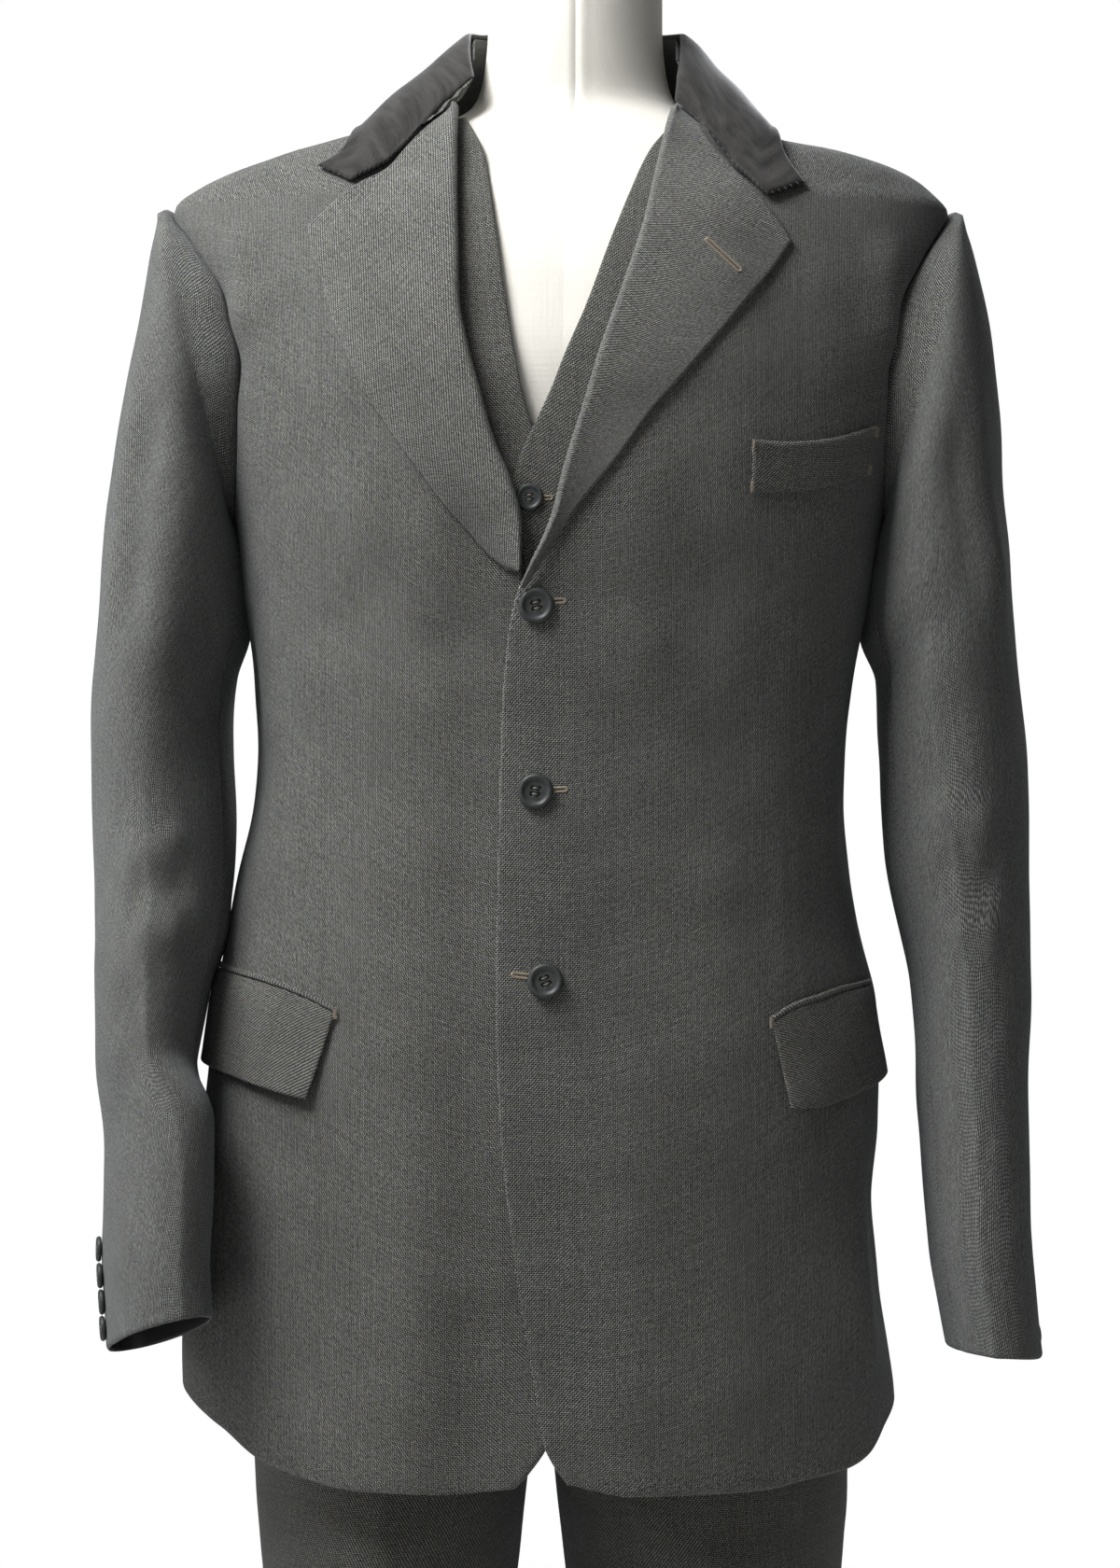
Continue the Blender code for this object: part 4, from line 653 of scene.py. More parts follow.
def cloth(node, points, outs, thickness, looks,
          rolls=(0.0012, 0.0012, 0.0012, 0.0012), sinks=(0.4, 0.4, 0.4, 0.4), uv_start=(0.0, 0.0)):
    """A thin closed wall of cloth from its outer grid, rolled down at its edges.

    rolls and sinks give how wide the edge rolls over and how much of the thickness it sinks by, for
    the first column, the last column, the first row and the last row.
    """
    u, v = laid_out(points)
    sink, lift = np.zeros(u.shape), np.zeros(u.shape)
    for away, roll, share in zip((u, u[:, -1:] - u, v, v[-1:] - v), rolls, sinks):
        if roll:
            sink = np.maximum(sink, share * thickness * (1.0 - np.clip(away / roll, 0.0, 1.0)) ** 2)
        rim = 1.0 - np.clip(away / INNER_RIM_WIDTH, 0.0, 1.0)
        lift = np.maximum(lift, INNER_RIM_SHARE * thickness * rim ** 2)
    outer = points - outs * sink[..., None]
    inner = points - outs * (thickness - lift)[..., None]
    number, quads = quad_grid(*u.shape)
    rim = np.concatenate((number[0, :-1], number[:-1, -1], number[-1, :0:-1], number[:0:-1, 0]))
    after = np.roll(rim, -1)
    sides = np.stack((rim, rim + number.size, after + number.size, after), axis=-1)
    middle = (len(u) // 2, u.shape[1] // 2)
    facing = np.cross(points[middle[0], middle[1] + 1] - points[middle],
                      points[middle[0] + 1, middle[1]] - points[middle])
    if facing @ outs[middle] < 0.0:
        quads, sides = quads[:, ::-1], sides[:, ::-1]
    faces = np.concatenate((quads, quads[:, ::-1] + number.size, sides))
    spots = np.stack((u + uv_start[0], v + uv_start[1]), axis=-1).reshape(-1, 2)
    second = [0] * len(quads) + [1] * len(quads) + [0] * len(sides)
    piece = build(f"{node}_cloth", np.concatenate((outer, inner)).reshape(-1, 3).tolist(), faces.tolist(),
                  looks, node, 60.0, np.concatenate((spots, spots)), second)


def sewn(points, edges=(0, -1)):
    """Draws the first or the last column, or both, back from their seams."""
    for edge in edges:
        beside = 1 if edge == 0 else -2
        points[:, edge] += unit(points[:, beside] - points[:, edge]) * SEWN


def leg_point(side, share, height, panel):
    """Outer side of a trouser leg; the share runs from the fork or inseam to the side seam."""
    share, height = np.broadcast_arrays(np.asarray(share, float), np.asarray(height, float))
    middle, inner, right, left, front, back, square = [
        column(TROUSER_SECTIONS, i, height) for i in range(1, 8)
    ]
    outer = left if side > 0.0 else right
    centre, half = (inner + outer) / 2.0, (outer - inner) / 2.0
    lean = -np.degrees(np.arcsin(np.clip(centre / half, 0.0, 1.0) ** (square / 2.0)))
    start = np.where(inner < 0.0, lean, -90.0)
    angle = np.radians(start + (90.0 - start) * share)
    across = np.sign(np.sin(angle)) * np.abs(np.sin(angle)) ** (2.0 / square)
    along = np.abs(np.cos(angle)) ** (2.0 / square)
    depth = -front * along if panel == "front" else back * along
    return np.stack((middle + side * (centre + half * across), depth, height), axis=-1), np.degrees(angle)


def leg_grid(side, panel, shares, heights):
    """A trouser panel: its points, the directions out of it, and where its crease runs."""
    grid_shares, grid_heights = np.meshgrid(shares, heights)
    points, angles = leg_point(side, grid_shares, grid_heights, panel)
    around = (leg_point(side, np.minimum(grid_shares + 0.02, 1.0), grid_heights, panel)[0]
              - leg_point(side, np.maximum(grid_shares - 0.02, 0.0), grid_heights, panel)[0])
    upward = (leg_point(side, grid_shares, np.minimum(grid_heights + 0.003, TROUSER_TOP), panel)[0]
              - leg_point(side, grid_shares, np.maximum(grid_heights - 0.003, TROUSER_HEM), panel)[0])
    facing = side if panel == "front" else -side
    return points, facing * unit(np.cross(around, upward)), angles


# tone 0.72 is painted shade: the trousers' copy of the suit's cloth is darkened.
trouser_cloth = suiting_look("trouser_sharkskin", tilt=4.0, tone=0.72, warm=0.25)
trouser_inside = lining_look("trouser_inside", (0.030, 0.029, 0.028))
for name, side in SIDES.items():
    for panel in ("front", "back"):
        shares = places_with_edges(46)
        heights = np.concatenate((np.linspace(TROUSER_TOP - 0.0002, 0.050, 125), TROUSER_HEM_ROWS))
        points, outs, angles = leg_grid(side, panel, shares, heights)
        sewn(points)
        rise = uneven(points, 0.120, 0.0010, 11) + uneven(points, 0.045, 0.0003, 12)
        for half_width, height, leg, face, spots in TROUSER_CREASES:
            if leg == name and face == panel:
                line = smoothed([leg_point(side, share, level, panel)[0] for share, level in spots])
                rise += ridge(points, line, half_width, height)
        u, v = laid_out(points)
        centre = np.array([np.interp(0.0, row, lengths) for row, lengths in zip(angles, u)])[:, None]
        pressed = ease((0.93 - heights[:, None]) / 0.10)
        rise += 0.0030 * pressed * np.exp(-np.abs(u - centre) / 0.0045)
        hem = heights[:, None] - TROUSER_HEM
        rise -= 0.0007 * np.exp(-((hem - 0.038) / 0.0018) ** 2)
        fade = ease(np.minimum(u, u[:, -1:] - u) / 0.012) * 0.85 + 0.15
        points = points + outs * (rise * fade)[..., None]
        cloth(f"trouser_{panel}_{name}", points, outs, TROUSER_CLOTH,
              (trouser_cloth, trouser_inside),
              rolls=(0.004, 0.004, 0.0012, 0.0014), sinks=(0.45, 0.45, 0.3, 0.45),
              uv_start=(-centre * side, 0.0))


def coat_level(side, turn, height, depth):
    """A point drawn level into the jacket's section, and the level direction out."""
    out = coat_normal(side, turn, height)
    out[..., 2] = 0.0
    out = unit(out)
    return coat_raw(side, turn, height) - out * depth, out


for name, side in SIDES.items():
    turns, heights = np.meshgrid(places_with_edges(110) * 180.0, np.linspace(*reversed(WAISTBAND), 16))
    points, outs = coat_level(side, turns, heights, WAISTBAND_DEPTH)
    sewn(points)
    points = points + outs * uneven(points, 0.06, 0.0004, 13)[..., None]
    cloth(f"waistband_{name}", points, outs, TROUSER_CLOTH,
          (trouser_cloth, trouser_inside))


# ---- the waistcoat -----------------------------------------------------------------------------
# Two fronts of the same cloth that lap down the middle under six buttons and end in points, and
# one plain back. The neck is cut in a V that shows above the jacket's top button.
VEST_CLOTH = 0.0014
VEST_OVERLAP_DEPTH = VEST_CLOTH + 0.0014
VEST_NECK, VEST_NAPE = 1.4860, 1.5000
VEST_ARMHOLE = {"height": 1.3430, "rise": 0.1270, "y": 0.0080, "run": 0.0880, "below": 1.210}
VEST_LOW = 1.030                     # the rows of a front are level down to here
VEST_EDGES = {
    "left": (
        # height, x
        (0.9520, 0.0160), (0.9620, -0.0100), (0.9800, -0.0290), (1.0300, -0.0310), (1.2000, -0.0310),
        (1.2500, -0.0290), (1.2790, -0.0230), (1.2950, -0.0155), (1.3200, -0.0040), (1.3370, 0.0020),
        (1.3690, 0.0155), (1.3980, 0.0257), (1.4240, 0.0355), (1.4570, 0.0490), (1.4880, 0.0700),
    ),
    "right": (
        (0.9520, -0.0380), (0.9620, -0.0120), (0.9800, 0.0070), (1.0300, 0.0090), (1.2000, 0.0090),
        (1.2500, 0.0050), (1.2750, -0.0060), (1.2950, -0.0150), (1.3170, -0.0213), (1.3360, -0.0250),
        (1.3740, -0.0311), (1.4055, -0.0353), (1.4340, -0.0394), (1.4570, -0.0430), (1.4880, -0.0560),
    ),
}
VEST_HEM = ((0.00, 0.9520), (0.12, 0.9500), (0.50, 0.9850), (1.00, 1.0020))


def turn_at_x(side, x, height):
    """Where around the jacket a point seen from the front at x lies."""
    width, middle, square = [column(COAT_SECTIONS, i, height) for i in (1, 4, 5)]
    share = np.clip(side * (x - middle) / width, -0.999, 0.999)
    return np.degrees(np.arcsin(np.sign(share) * np.abs(share) ** (square / 2.0)))


def turn_at_y(y, height):
    """Where around the jacket a point seen from the side at y lies."""
    front, back, square = [column(COAT_SECTIONS, i, height) for i in (2, 3, 5)]
    ahead = np.degrees(np.arccos(np.clip(-y / front, 0.0, 1.0) ** (square / 2.0)))
    behind = np.degrees(np.arccos(-np.clip(y / back, 0.0, 1.0) ** (square / 2.0)))
    return np.where(y < 0.0, ahead, behind)


def panel_end(height, armhole, edge):
    """Last turn of a front (edge -1) or back (edge 1) panel at a height."""
    height = np.asarray(height, float)
    top, foot = armhole["height"] + armhole["rise"], armhole["height"] - armhole["rise"]
    start = turn_at_y(armhole["y"], foot)
    seam = start + (110.0 - start) * ease((foot - height) / 0.15)
    share = (height - armhole["height"]) / armhole["rise"]
    run = armhole["run"] * np.sqrt(np.maximum(1.0 - share * share, 0.0))
    hole = turn_at_y(armhole["y"] + edge * run, height)
    return np.where(height >= top - 0.0001, 90.0, np.where(height <= foot + 0.0001, seam, hole))


def armhole_heights(armhole, count):
    """Heights beside an armhole, closer together at its top and its foot."""
    angles = np.radians(np.linspace(84.0, -90.0, count))
    return armhole["height"] + armhole["rise"] * np.sin(angles)


def vest_pair(side, turn, height, lift=0.0):
    """The waistcoat's outer side; the left front rises where it laps over the right one."""
    depth = column(LAYER_DEPTHS, 1, height)
    base, out = coat_raw(side, turn, height), coat_normal(side, turn, height)
    if side > 0.0:
        x = base[..., 0]
        lapped = (1.0 - ease((x - 0.026) / 0.040)) * (1.0 - ease((height - 1.300) / 0.030))
        depth = depth - VEST_OVERLAP_DEPTH * lapped
    depth = depth - lift - uneven(base, 0.085, 0.0004, 21)
    return base - out * np.asarray(depth)[..., None], out


def hem_heights(hem, shares, start, count, last=(0.010, 0.005, 0.0025, 0.001)):
    """Rows of heights that settle from a level row on a curved hem and close up at it."""
    foot = curve(hem, shares)
    drops = list(np.linspace(0.0, 1.0, count)[1:-1])
    rows = [start + drop * (foot - start) for drop in drops if drop < 0.96]
    rows += [foot + (start - foot) * np.minimum(step / np.maximum(start - foot, 1e-6), 1.0) for step in last]
    return rows + [foot]


def panel_rows(shares, neck, nape, armhole, low, counts):
    """Rows of heights of a front or a back: past the neck, past the armhole and level down to low."""
    top = armhole["height"] + armhole["rise"]
    slope = neck + (nape - neck) * ease(shares)
    rows = [top + up * (slope - top) for up in np.linspace(1.0, 0.0, counts[0])[:-1]]
    levels = (*armhole_heights(armhole, counts[1]), *np.linspace(armhole["below"], low, counts[2]))
    return rows + [np.full(shares.shape, level) for level in levels]


# tone 0.92 is painted shade: the waistcoat's copy of the suit's cloth is a little darker.
vest_cloth = suiting_look("waistcoat_sharkskin", tilt=-6.0, tone=0.92, warm=0.15)
vest_lining = lining_look("waistcoat_lining", (0.055, 0.053, 0.050))
for name, side in SIDES.items():
    shares = places_with_edges(52)
    rows = panel_rows(shares, VEST_NECK, VEST_NECK, VEST_ARMHOLE, VEST_LOW, (14, 36, 30))
    heights = np.array(rows + hem_heights(VEST_HEM, shares, VEST_LOW, 10))
    start = turn_at_x(side, curve(VEST_EDGES[name], heights), heights)
    end = panel_end(heights, VEST_ARMHOLE, -1.0)
    points, outs = vest_pair(side, start + (end - start) * shares, heights)
    sewn(points, (-1,))
    cloth(f"waistcoat_front_{name}", points, outs, VEST_CLOTH,
          (vest_cloth, vest_lining),
          rolls=(0.0016, 0.004, 0.002, 0.0014), sinks=(0.5, 0.45, 0.4, 0.45),
          uv_start=(points[:, :1, 0] if side > 0.0 else -points[:, :1, 0], 0.0))
half = places_with_edges(60)
order = [(1.0, share) for share in half] + [(-1.0, share) for share in half[::-1][1:]]
sides = np.array([side for side, _ in order])
shares = np.array([share for _, share in order])
heights = np.array(panel_rows(shares, VEST_NECK, VEST_NAPE, VEST_ARMHOLE, VEST_HEM[-1][1], (12, 46, 32)))
start = panel_end(heights, VEST_ARMHOLE, 1.0)
turns = start + (180.0 - start) * shares
points, outs = vest_pair(-1.0, turns, heights)
left_points, left_outs = vest_pair(1.0, turns, heights)
is_left = (sides > 0.0)[None, :, None]
points, outs = np.where(is_left, left_points, points), np.where(is_left, left_outs, outs)
sewn(points)
cloth("waistcoat_back", points, outs, VEST_CLOTH, (vest_lining, vest_lining),
      rolls=(0.004, 0.004, 0.002, 0.0014))


# ---- the jacket's body -------------------------------------------------------------------------
# Two fronts and two backs of the same sharkskin over canvas, lined, closed by three buttons with
# the wearer's left front on top. A dart shapes each front and the hem curves up to the sides.
COAT_CLOTH = 0.0018
LAID = 0.0007
OVERLAP_DEPTH = COAT_CLOTH + 0.0010
COAT_NECK, COAT_NAPE = 1.4955, 1.5220
COAT_ARMHOLE = {"height": 1.3395, "rise": 0.0945, "y": 0.0130, "run": 0.0745, "below": 1.241}
COAT_LOW = 0.790                     # the rows of every panel are level down to here
COAT_EDGES = {
    "left": (
        # height, x
        (0.7120, 0.0040), (0.7200, -0.0020), (0.7340, -0.0090), (0.7670, -0.0145), (0.8080, -0.0215),
        (0.8600, -0.0285), (0.9110, -0.0335), (0.9740, -0.0356), (1.0730, -0.0340), (1.1220, -0.0330),
        (1.1710, -0.0300), (1.2000, -0.0250), (1.2180, -0.0175), (1.2310, -0.0113), (1.2470, -0.0052),
        (1.2720, 0.0010), (1.3140, 0.0140), (1.3360, 0.0205), (1.3760, 0.0345), (1.4100, 0.0455),
        (1.4400, 0.0525), (1.4700, 0.0590), (1.4980, 0.0660),
    ),
    "right": (
        (0.7090, -0.0245), (0.7150, -0.0190), (0.7340, -0.0060), (0.7670, 0.0050), (0.8080, 0.0140),
        (0.8600, 0.0215), (0.9740, 0.0270), (1.1000, 0.0260), (1.1500, 0.0200), (1.1750, 0.0080),
        (1.1950, -0.0100), (1.2100, -0.0210), (1.2420, -0.0205), (1.2620, -0.0250), (1.2880, -0.0356),
        (1.3200, -0.0445), (1.3420, -0.0505), (1.3670, -0.0550), (1.4100, -0.0563), (1.4350, -0.0572),
        (1.4700, -0.0575), (1.4980, -0.0560),
    ),
}
FRONT_HEMS = {
    "left": (
        # share of the way from the front edge to the side seam, height
        (0.00, 0.7120), (0.08, 0.7050), (0.29, 0.7047), (0.36, 0.7075), (0.48, 0.7100), (0.56, 0.7150),
        (0.66, 0.7280), (0.75, 0.7340), (1.00, 0.7400),
    ),
    "right": (
        (0.00, 0.7090), (0.08, 0.7055), (0.20, 0.7060), (0.30, 0.7103), (0.41, 0.7186), (0.52, 0.7325),
        (0.72, 0.7447), (1.00, 0.7480),
    ),
}
BACK_HEMS = {
    "left": ((0.00, 0.7400), (0.50, 0.7360), (1.00, 0.7340)),
    "right": ((0.00, 0.7480), (0.50, 0.7400), (1.00, 0.7340)),
}
# Folds of the hung jacket. A negative turn is on the wearer's right, 0 is the front, 180 the back.
COAT_FOLDS = (
    # half width, rise, (turn, height) places
    (0.016, 0.0040, ((-52.0, 1.425), (-55.0, 1.390), (-56.0, 1.340))),
    (0.010, -0.0030, ((-60.0, 1.410), (-62.0, 1.370), (-62.0, 1.310))),
    (0.014, 0.0034, ((54.0, 1.420), (57.0, 1.380), (59.0, 1.330))),
    (0.010, -0.0026, ((62.0, 1.400), (65.0, 1.360), (66.0, 1.310))),
    (0.022, 0.0026, ((-68.0, 1.215), (-66.0, 1.130), (-62.0, 1.020))),
    (0.018, -0.0030, ((-80.0, 1.215), (-78.0, 1.120), (-74.0, 1.010))),
    (0.020, 0.0024, ((66.0, 1.205), (66.0, 1.120), (64.0, 1.020))),
    (0.018, -0.0028, ((78.0, 1.210), (78.0, 1.120), (76.0, 1.010))),
    (0.020, 0.0020, ((-8.0, 1.210), (-22.0, 1.235), (-42.0, 1.265))),
    (0.018, -0.0018, ((-10.0, 1.165), (-26.0, 1.180), (-48.0, 1.195))),
    (0.020, 0.0018, ((6.0, 1.185), (22.0, 1.170), (44.0, 1.160))),
    (0.018, -0.0016, ((4.0, 1.130), (24.0, 1.120), (46.0, 1.105))),
    (0.016, 0.0016, ((4.0, 1.060), (20.0, 1.045), (42.0, 1.040))),
    (0.018, 0.0018, ((-8.0, 1.080), (-24.0, 1.060), (-44.0, 1.050))),
    (0.024, 0.0036, ((-70.0, 0.900), (-70.0, 0.820), (-68.0, 0.735))),
    (0.020, -0.0036, ((-58.0, 0.880), (-57.0, 0.810), (-55.0, 0.730))),
    (0.026, 0.0040, ((68.0, 0.900), (66.0, 0.820), (64.0, 0.735))),
    (0.018, -0.0040, ((78.0, 0.900), (77.0, 0.820), (75.0, 0.740))),
    (0.030, 0.0028, ((30.0, 0.880), (32.0, 0.800), (34.0, 0.710))),
    (0.030, -0.0022, ((-30.0, 0.870), (-31.0, 0.800), (-33.0, 0.715))),
    (0.030, 0.0022, ((-12.0, 0.860), (-13.0, 0.790), (-14.0, 0.710))),
    (0.020, 0.0044, ((112.0, 0.930), (110.0, 0.850), (108.0, 0.745))),
    (0.020, 0.0040, ((-114.0, 0.930), (-112.0, 0.850), (-110.0, 0.755))),
    (0.022, 0.0046, ((132.0, 0.960), (134.0, 0.860), (136.0, 0.740))),
    (0.022, -0.0040, ((122.0, 0.960), (122.0, 0.860), (122.0, 0.745))),
    (0.022, 0.0044, ((-134.0, 0.955), (-136.0, 0.860), (-138.0, 0.745))),
    (0.022, -0.0038, ((-122.0, 0.955), (-123.0, 0.860), (-123.0, 0.750))),
    (0.024, 0.0036, ((158.0, 0.950), (158.0, 0.860), (159.0, 0.740))),
    (0.022, 0.0030, ((-160.0, 0.950), (-160.0, 0.860), (-161.0, 0.740))),
    (0.014, 0.0044, ((128.0, 1.090), (145.0, 1.078), (172.0, 1.086))),
    (0.014, -0.0036, ((126.0, 1.128), (146.0, 1.115), (170.0, 1.120))),
    (0.013, 0.0040, ((-126.0, 1.100), (-146.0, 1.088), (-172.0, 1.094))),
    (0.014, -0.0034, ((-124.0, 1.140), (-146.0, 1.126), (-170.0, 1.130))),
    (0.014, 0.0034, ((112.0, 1.180), (130.0, 1.160), (150.0, 1.158))),
    (0.014, 0.0034, ((-110.0, 1.185), (-128.0, 1.168), (-150.0, 1.164))),
    (0.018, 0.0044, ((126.0, 1.400), (124.0, 1.330), (122.0, 1.250))),
    (0.014, -0.0036, ((134.0, 1.395), (133.0, 1.330), (131.0, 1.250))),
    (0.018, 0.0044, ((-126.0, 1.400), (-124.0, 1.330), (-122.0, 1.250))),
    (0.014, -0.0036, ((-134.0, 1.395), (-133.0, 1.330), (-131.0, 1.250))),
    (0.018, 0.0026, ((140.0, 1.455), (160.0, 1.460), (178.0, 1.462))),
    (0.018, 0.0024, ((-140.0, 1.455), (-160.0, 1.460), (-178.0, 1.462))),
)
# Each front's dart, as seen from the front: (x, height) from its top to the pocket.
DARTS = {
    "left": ((0.1225, 1.125), (0.1290, 1.060), (0.1310, 0.974)),
    "right": ((-0.1450, 1.125), (-0.1430, 1.060), (-0.1410, 0.978)),
}


fold_lines = [
    (half_width, height, smoothed([coat_raw(math.copysign(1.0, turn), abs(turn), level)
                                   for turn, level in spots]))
    for half_width, height, spots in COAT_FOLDS
]
dart_lines = [
    np.array([coat_raw(SIDES[name], turn_at_x(SIDES[name], x, level), level) for x, level in spots])
    for name, spots in DARTS.items()
]


def coat_drape(base):
    """How far the jacket's cloth stands out of its plain sections, from its folds."""
    base = np.atleast_2d(base)
    rise = uneven(base, 0.130, 0.0011, 31) + uneven(base, 0.050, 0.00035, 32)
    for half_width, height, line in fold_lines:
        rise = rise + ridge(base, line, half_width, height)
    for line in dart_lines:
        away, along = near(base, line)
        fade = ease(along / 0.25) * ease((1.0 - along) / 0.04)
        rise = rise + fade * (0.0007 * np.exp(-(away / 0.012) ** 2) - 0.0011 * np.exp(-(away / 0.0016) ** 2))
    return rise


def tuck(side, x, height):
    """How far the right front is pressed in where the left front lies on it."""
    if side > 0.0:
        return np.zeros(np.shape(x))
    return OVERLAP_DEPTH * ease((x + 0.080) / 0.034) * (1.0 - ease((height - 1.235) / 0.040))


def coat_pair(side, turn, height, lift=0.0):
    """A point of the jacket's draped cloth, lifted as asked, and the direction out of it."""
    base, out = coat_raw(side, turn, height), coat_normal(side, turn, height)
    rise = coat_drape(base).reshape(base.shape[:-1]) - tuck(side, base[..., 0], height) + lift
    return base + out * rise[..., None], out


jacket_cloth = suiting_look("jacket_sharkskin")
jacket_lining = lining_look("jacket_lining", (0.014, 0.014, 0.016))
for name, side in SIDES.items():
    shares = places_with_edges(92)
    rows = panel_rows(shares, COAT_NECK, COAT_NECK, COAT_ARMHOLE, COAT_LOW, (26, 56, 104))
    heights = np.array(rows + hem_heights(FRONT_HEMS[name], shares, COAT_LOW, 22))
    edge = curve(COAT_EDGES[name], heights)
    turned_back = ease((heights - 1.225) / 0.05) * 0.0042
    start = turn_at_x(side, edge + side * turned_back, heights)
    end = panel_end(heights, COAT_ARMHOLE, -1.0)
    points, outs = coat_pair(side, start + (end - start) * shares, heights)
    sewn(points, (-1,))
    cloth(f"jacket_front_{name}", points, outs, COAT_CLOTH,
          (jacket_cloth, jacket_lining),
          rolls=(0.0022, 0.0045, 0.003, 0.0022), sinks=(0.55, 0.5, 0.5, 0.55),
          uv_start=(side * points[:, :1, 0], 0.0))

    shares = places_with_edges(64)
    rows = panel_rows(shares, COAT_NECK, COAT_NAPE, COAT_ARMHOLE, COAT_LOW, (26, 56, 104))
    heights = np.array(rows + hem_heights(BACK_HEMS[name], shares, COAT_LOW, 18))
    start = panel_end(heights, COAT_ARMHOLE, 1.0)
    points, outs = coat_pair(side, start + (180.0 - start) * shares, heights)
    sewn(points)
    u, _ = laid_out(points)
    cloth(f"jacket_back_{name}", points, outs, COAT_CLOTH,
          (jacket_cloth, jacket_lining),
          rolls=(0.0045, 0.0045, 0.003, 0.0022), sinks=(0.5, 0.5, 0.5, 0.55),
          uv_start=(-u[:, -1:], 0.0))


# ---- the lapels --------------------------------------------------------------------------------
# The top of each front, turned back over its canvas and faced with the same cloth on its own grain.
# It rolls softly at the fold, lies flat on the chest and is stitched close to its edge.
LAPEL_CLOTH = 0.0022
LAPEL_INSET = 0.0006                 # how far inside the front's own edge the lapel starts
LAPEL_OUTLINES = {
    "left": (
        # height, x, from the break up round the point to the top of the gorge
        (1.2060, -0.0190), (1.2230, -0.0075), (1.2365, 0.0010), (1.2516, 0.0110), (1.2764, 0.0311),
        (1.3054, 0.0521), (1.3245, 0.0690), (1.3500, 0.0905), (1.3706, 0.1070), (1.3844, 0.1183),
        (1.4038, 0.1311), (1.4254, 0.1160), (1.4345, 0.1085), (1.4460, 0.0980), (1.4606, 0.0870),
        (1.4760, 0.0775), (1.4860, 0.0665),
    ),
    "right": (
        (1.2150, -0.0290), (1.2228, -0.0387), (1.2365, -0.0505), (1.2527, -0.0645), (1.2718, -0.0785),
        (1.2880, -0.0900), (1.3014, -0.0990), (1.3230, -0.1115), (1.3517, -0.1243), (1.3796, -0.1335),
        (1.3956, -0.1390), (1.4128, -0.1428), (1.4346, -0.1177), (1.4482, -0.0974), (1.4590, -0.0890),
        (1.4690, -0.0800), (1.4777, -0.0703), (1.4860, -0.0610),
    ),
}
LAPEL_POINTS = {"left": 1.4038, "right": 1.4128}
LAPEL_GRAIN = {"left": 36.0, "right": 37.0}


def lapel_edge(name, height):
    """Outer edge of a lapel at a height, with a crisp point."""
    point = LAPEL_POINTS[name]
    low = [pair for pair in LAPEL_OUTLINES[name] if pair[0] <= point]
    high = [pair for pair in LAPEL_OUTLINES[name] if pair[0] >= point]
    return np.where(height <= point, curve(low, height), curve(high, height))


def roll_radius(name, height):
    """How round the lapel rolls at a height: sharper at its foot."""
    return 0.0012 + 0.0024 * ease((height - LAPEL_OUTLINES[name][0][0]) / 0.05)


def lapel_pair(name, share, height):
    """A point of a lapel: the share is 0 at the roll, 1 at its edge, and below 0 round the roll."""
    side = SIDES[name]
    radius = roll_radius(name, height)
    inner = curve(COAT_EDGES[name], height) + side * LAPEL_INSET
    outer = lapel_edge(name, height)
    flat = np.clip(share, 0.0, 1.0)
    lift = LAPEL_CLOTH + 0.0012 + 0.0030 * (1.0 - flat) ** 2
    angle = np.clip(-share, 0.0, 1.0) * math.radians(150.0)
    start = inner + side * radius
    x = start + (outer - start) * flat - side * radius * np.sin(angle)
    lift = lift - radius * (1.0 - np.cos(angle))
    turn = turn_at_x(side, x, height)
    base, out = coat_pair(side, turn, height)
    across = np.cross(np.broadcast_to((0.0, 0.0, 1.0), out.shape), out) * -side
    facing = unit(out * np.cos(angle)[..., None] + across * np.sin(angle)[..., None])
    return base + out * lift[..., None], facing


for name, side in SIDES.items():
    outline = LAPEL_OUTLINES[name]
    shares = np.concatenate((np.linspace(-1.0, 0.0, 12)[:-1], places_with_edges(44, (0.0, 0.02))[:-2],
                             (0.965, 0.98, 0.99, 0.9965, 1.0)))
    levels = np.concatenate((np.linspace(outline[0][0], LAPEL_POINTS[name], 96)[:-1],
                             np.linspace(LAPEL_POINTS[name], outline[-1][0], 44)))[::-1]
    grid_shares, heights = np.meshgrid(shares, levels)
    points, outs = lapel_pair(name, grid_shares, heights)
    # tone 1.15 is painted light: each lapel's copy of the jacket's cloth is made paler.
    look = suiting_look(f"lapel_sharkskin_{name}", tilt=LAPEL_GRAIN[name] * -side, tone=1.15)
    cloth(f"jacket_lapel_{name}", points, outs, LAPEL_CLOTH,
          (look, look),
          rolls=(0.0, 0.0022, 0.0016, 0.0016), sinks=(0.0, 0.5, 0.4, 0.4),
          uv_start=(side * points[:, :1, 0], 0.0))


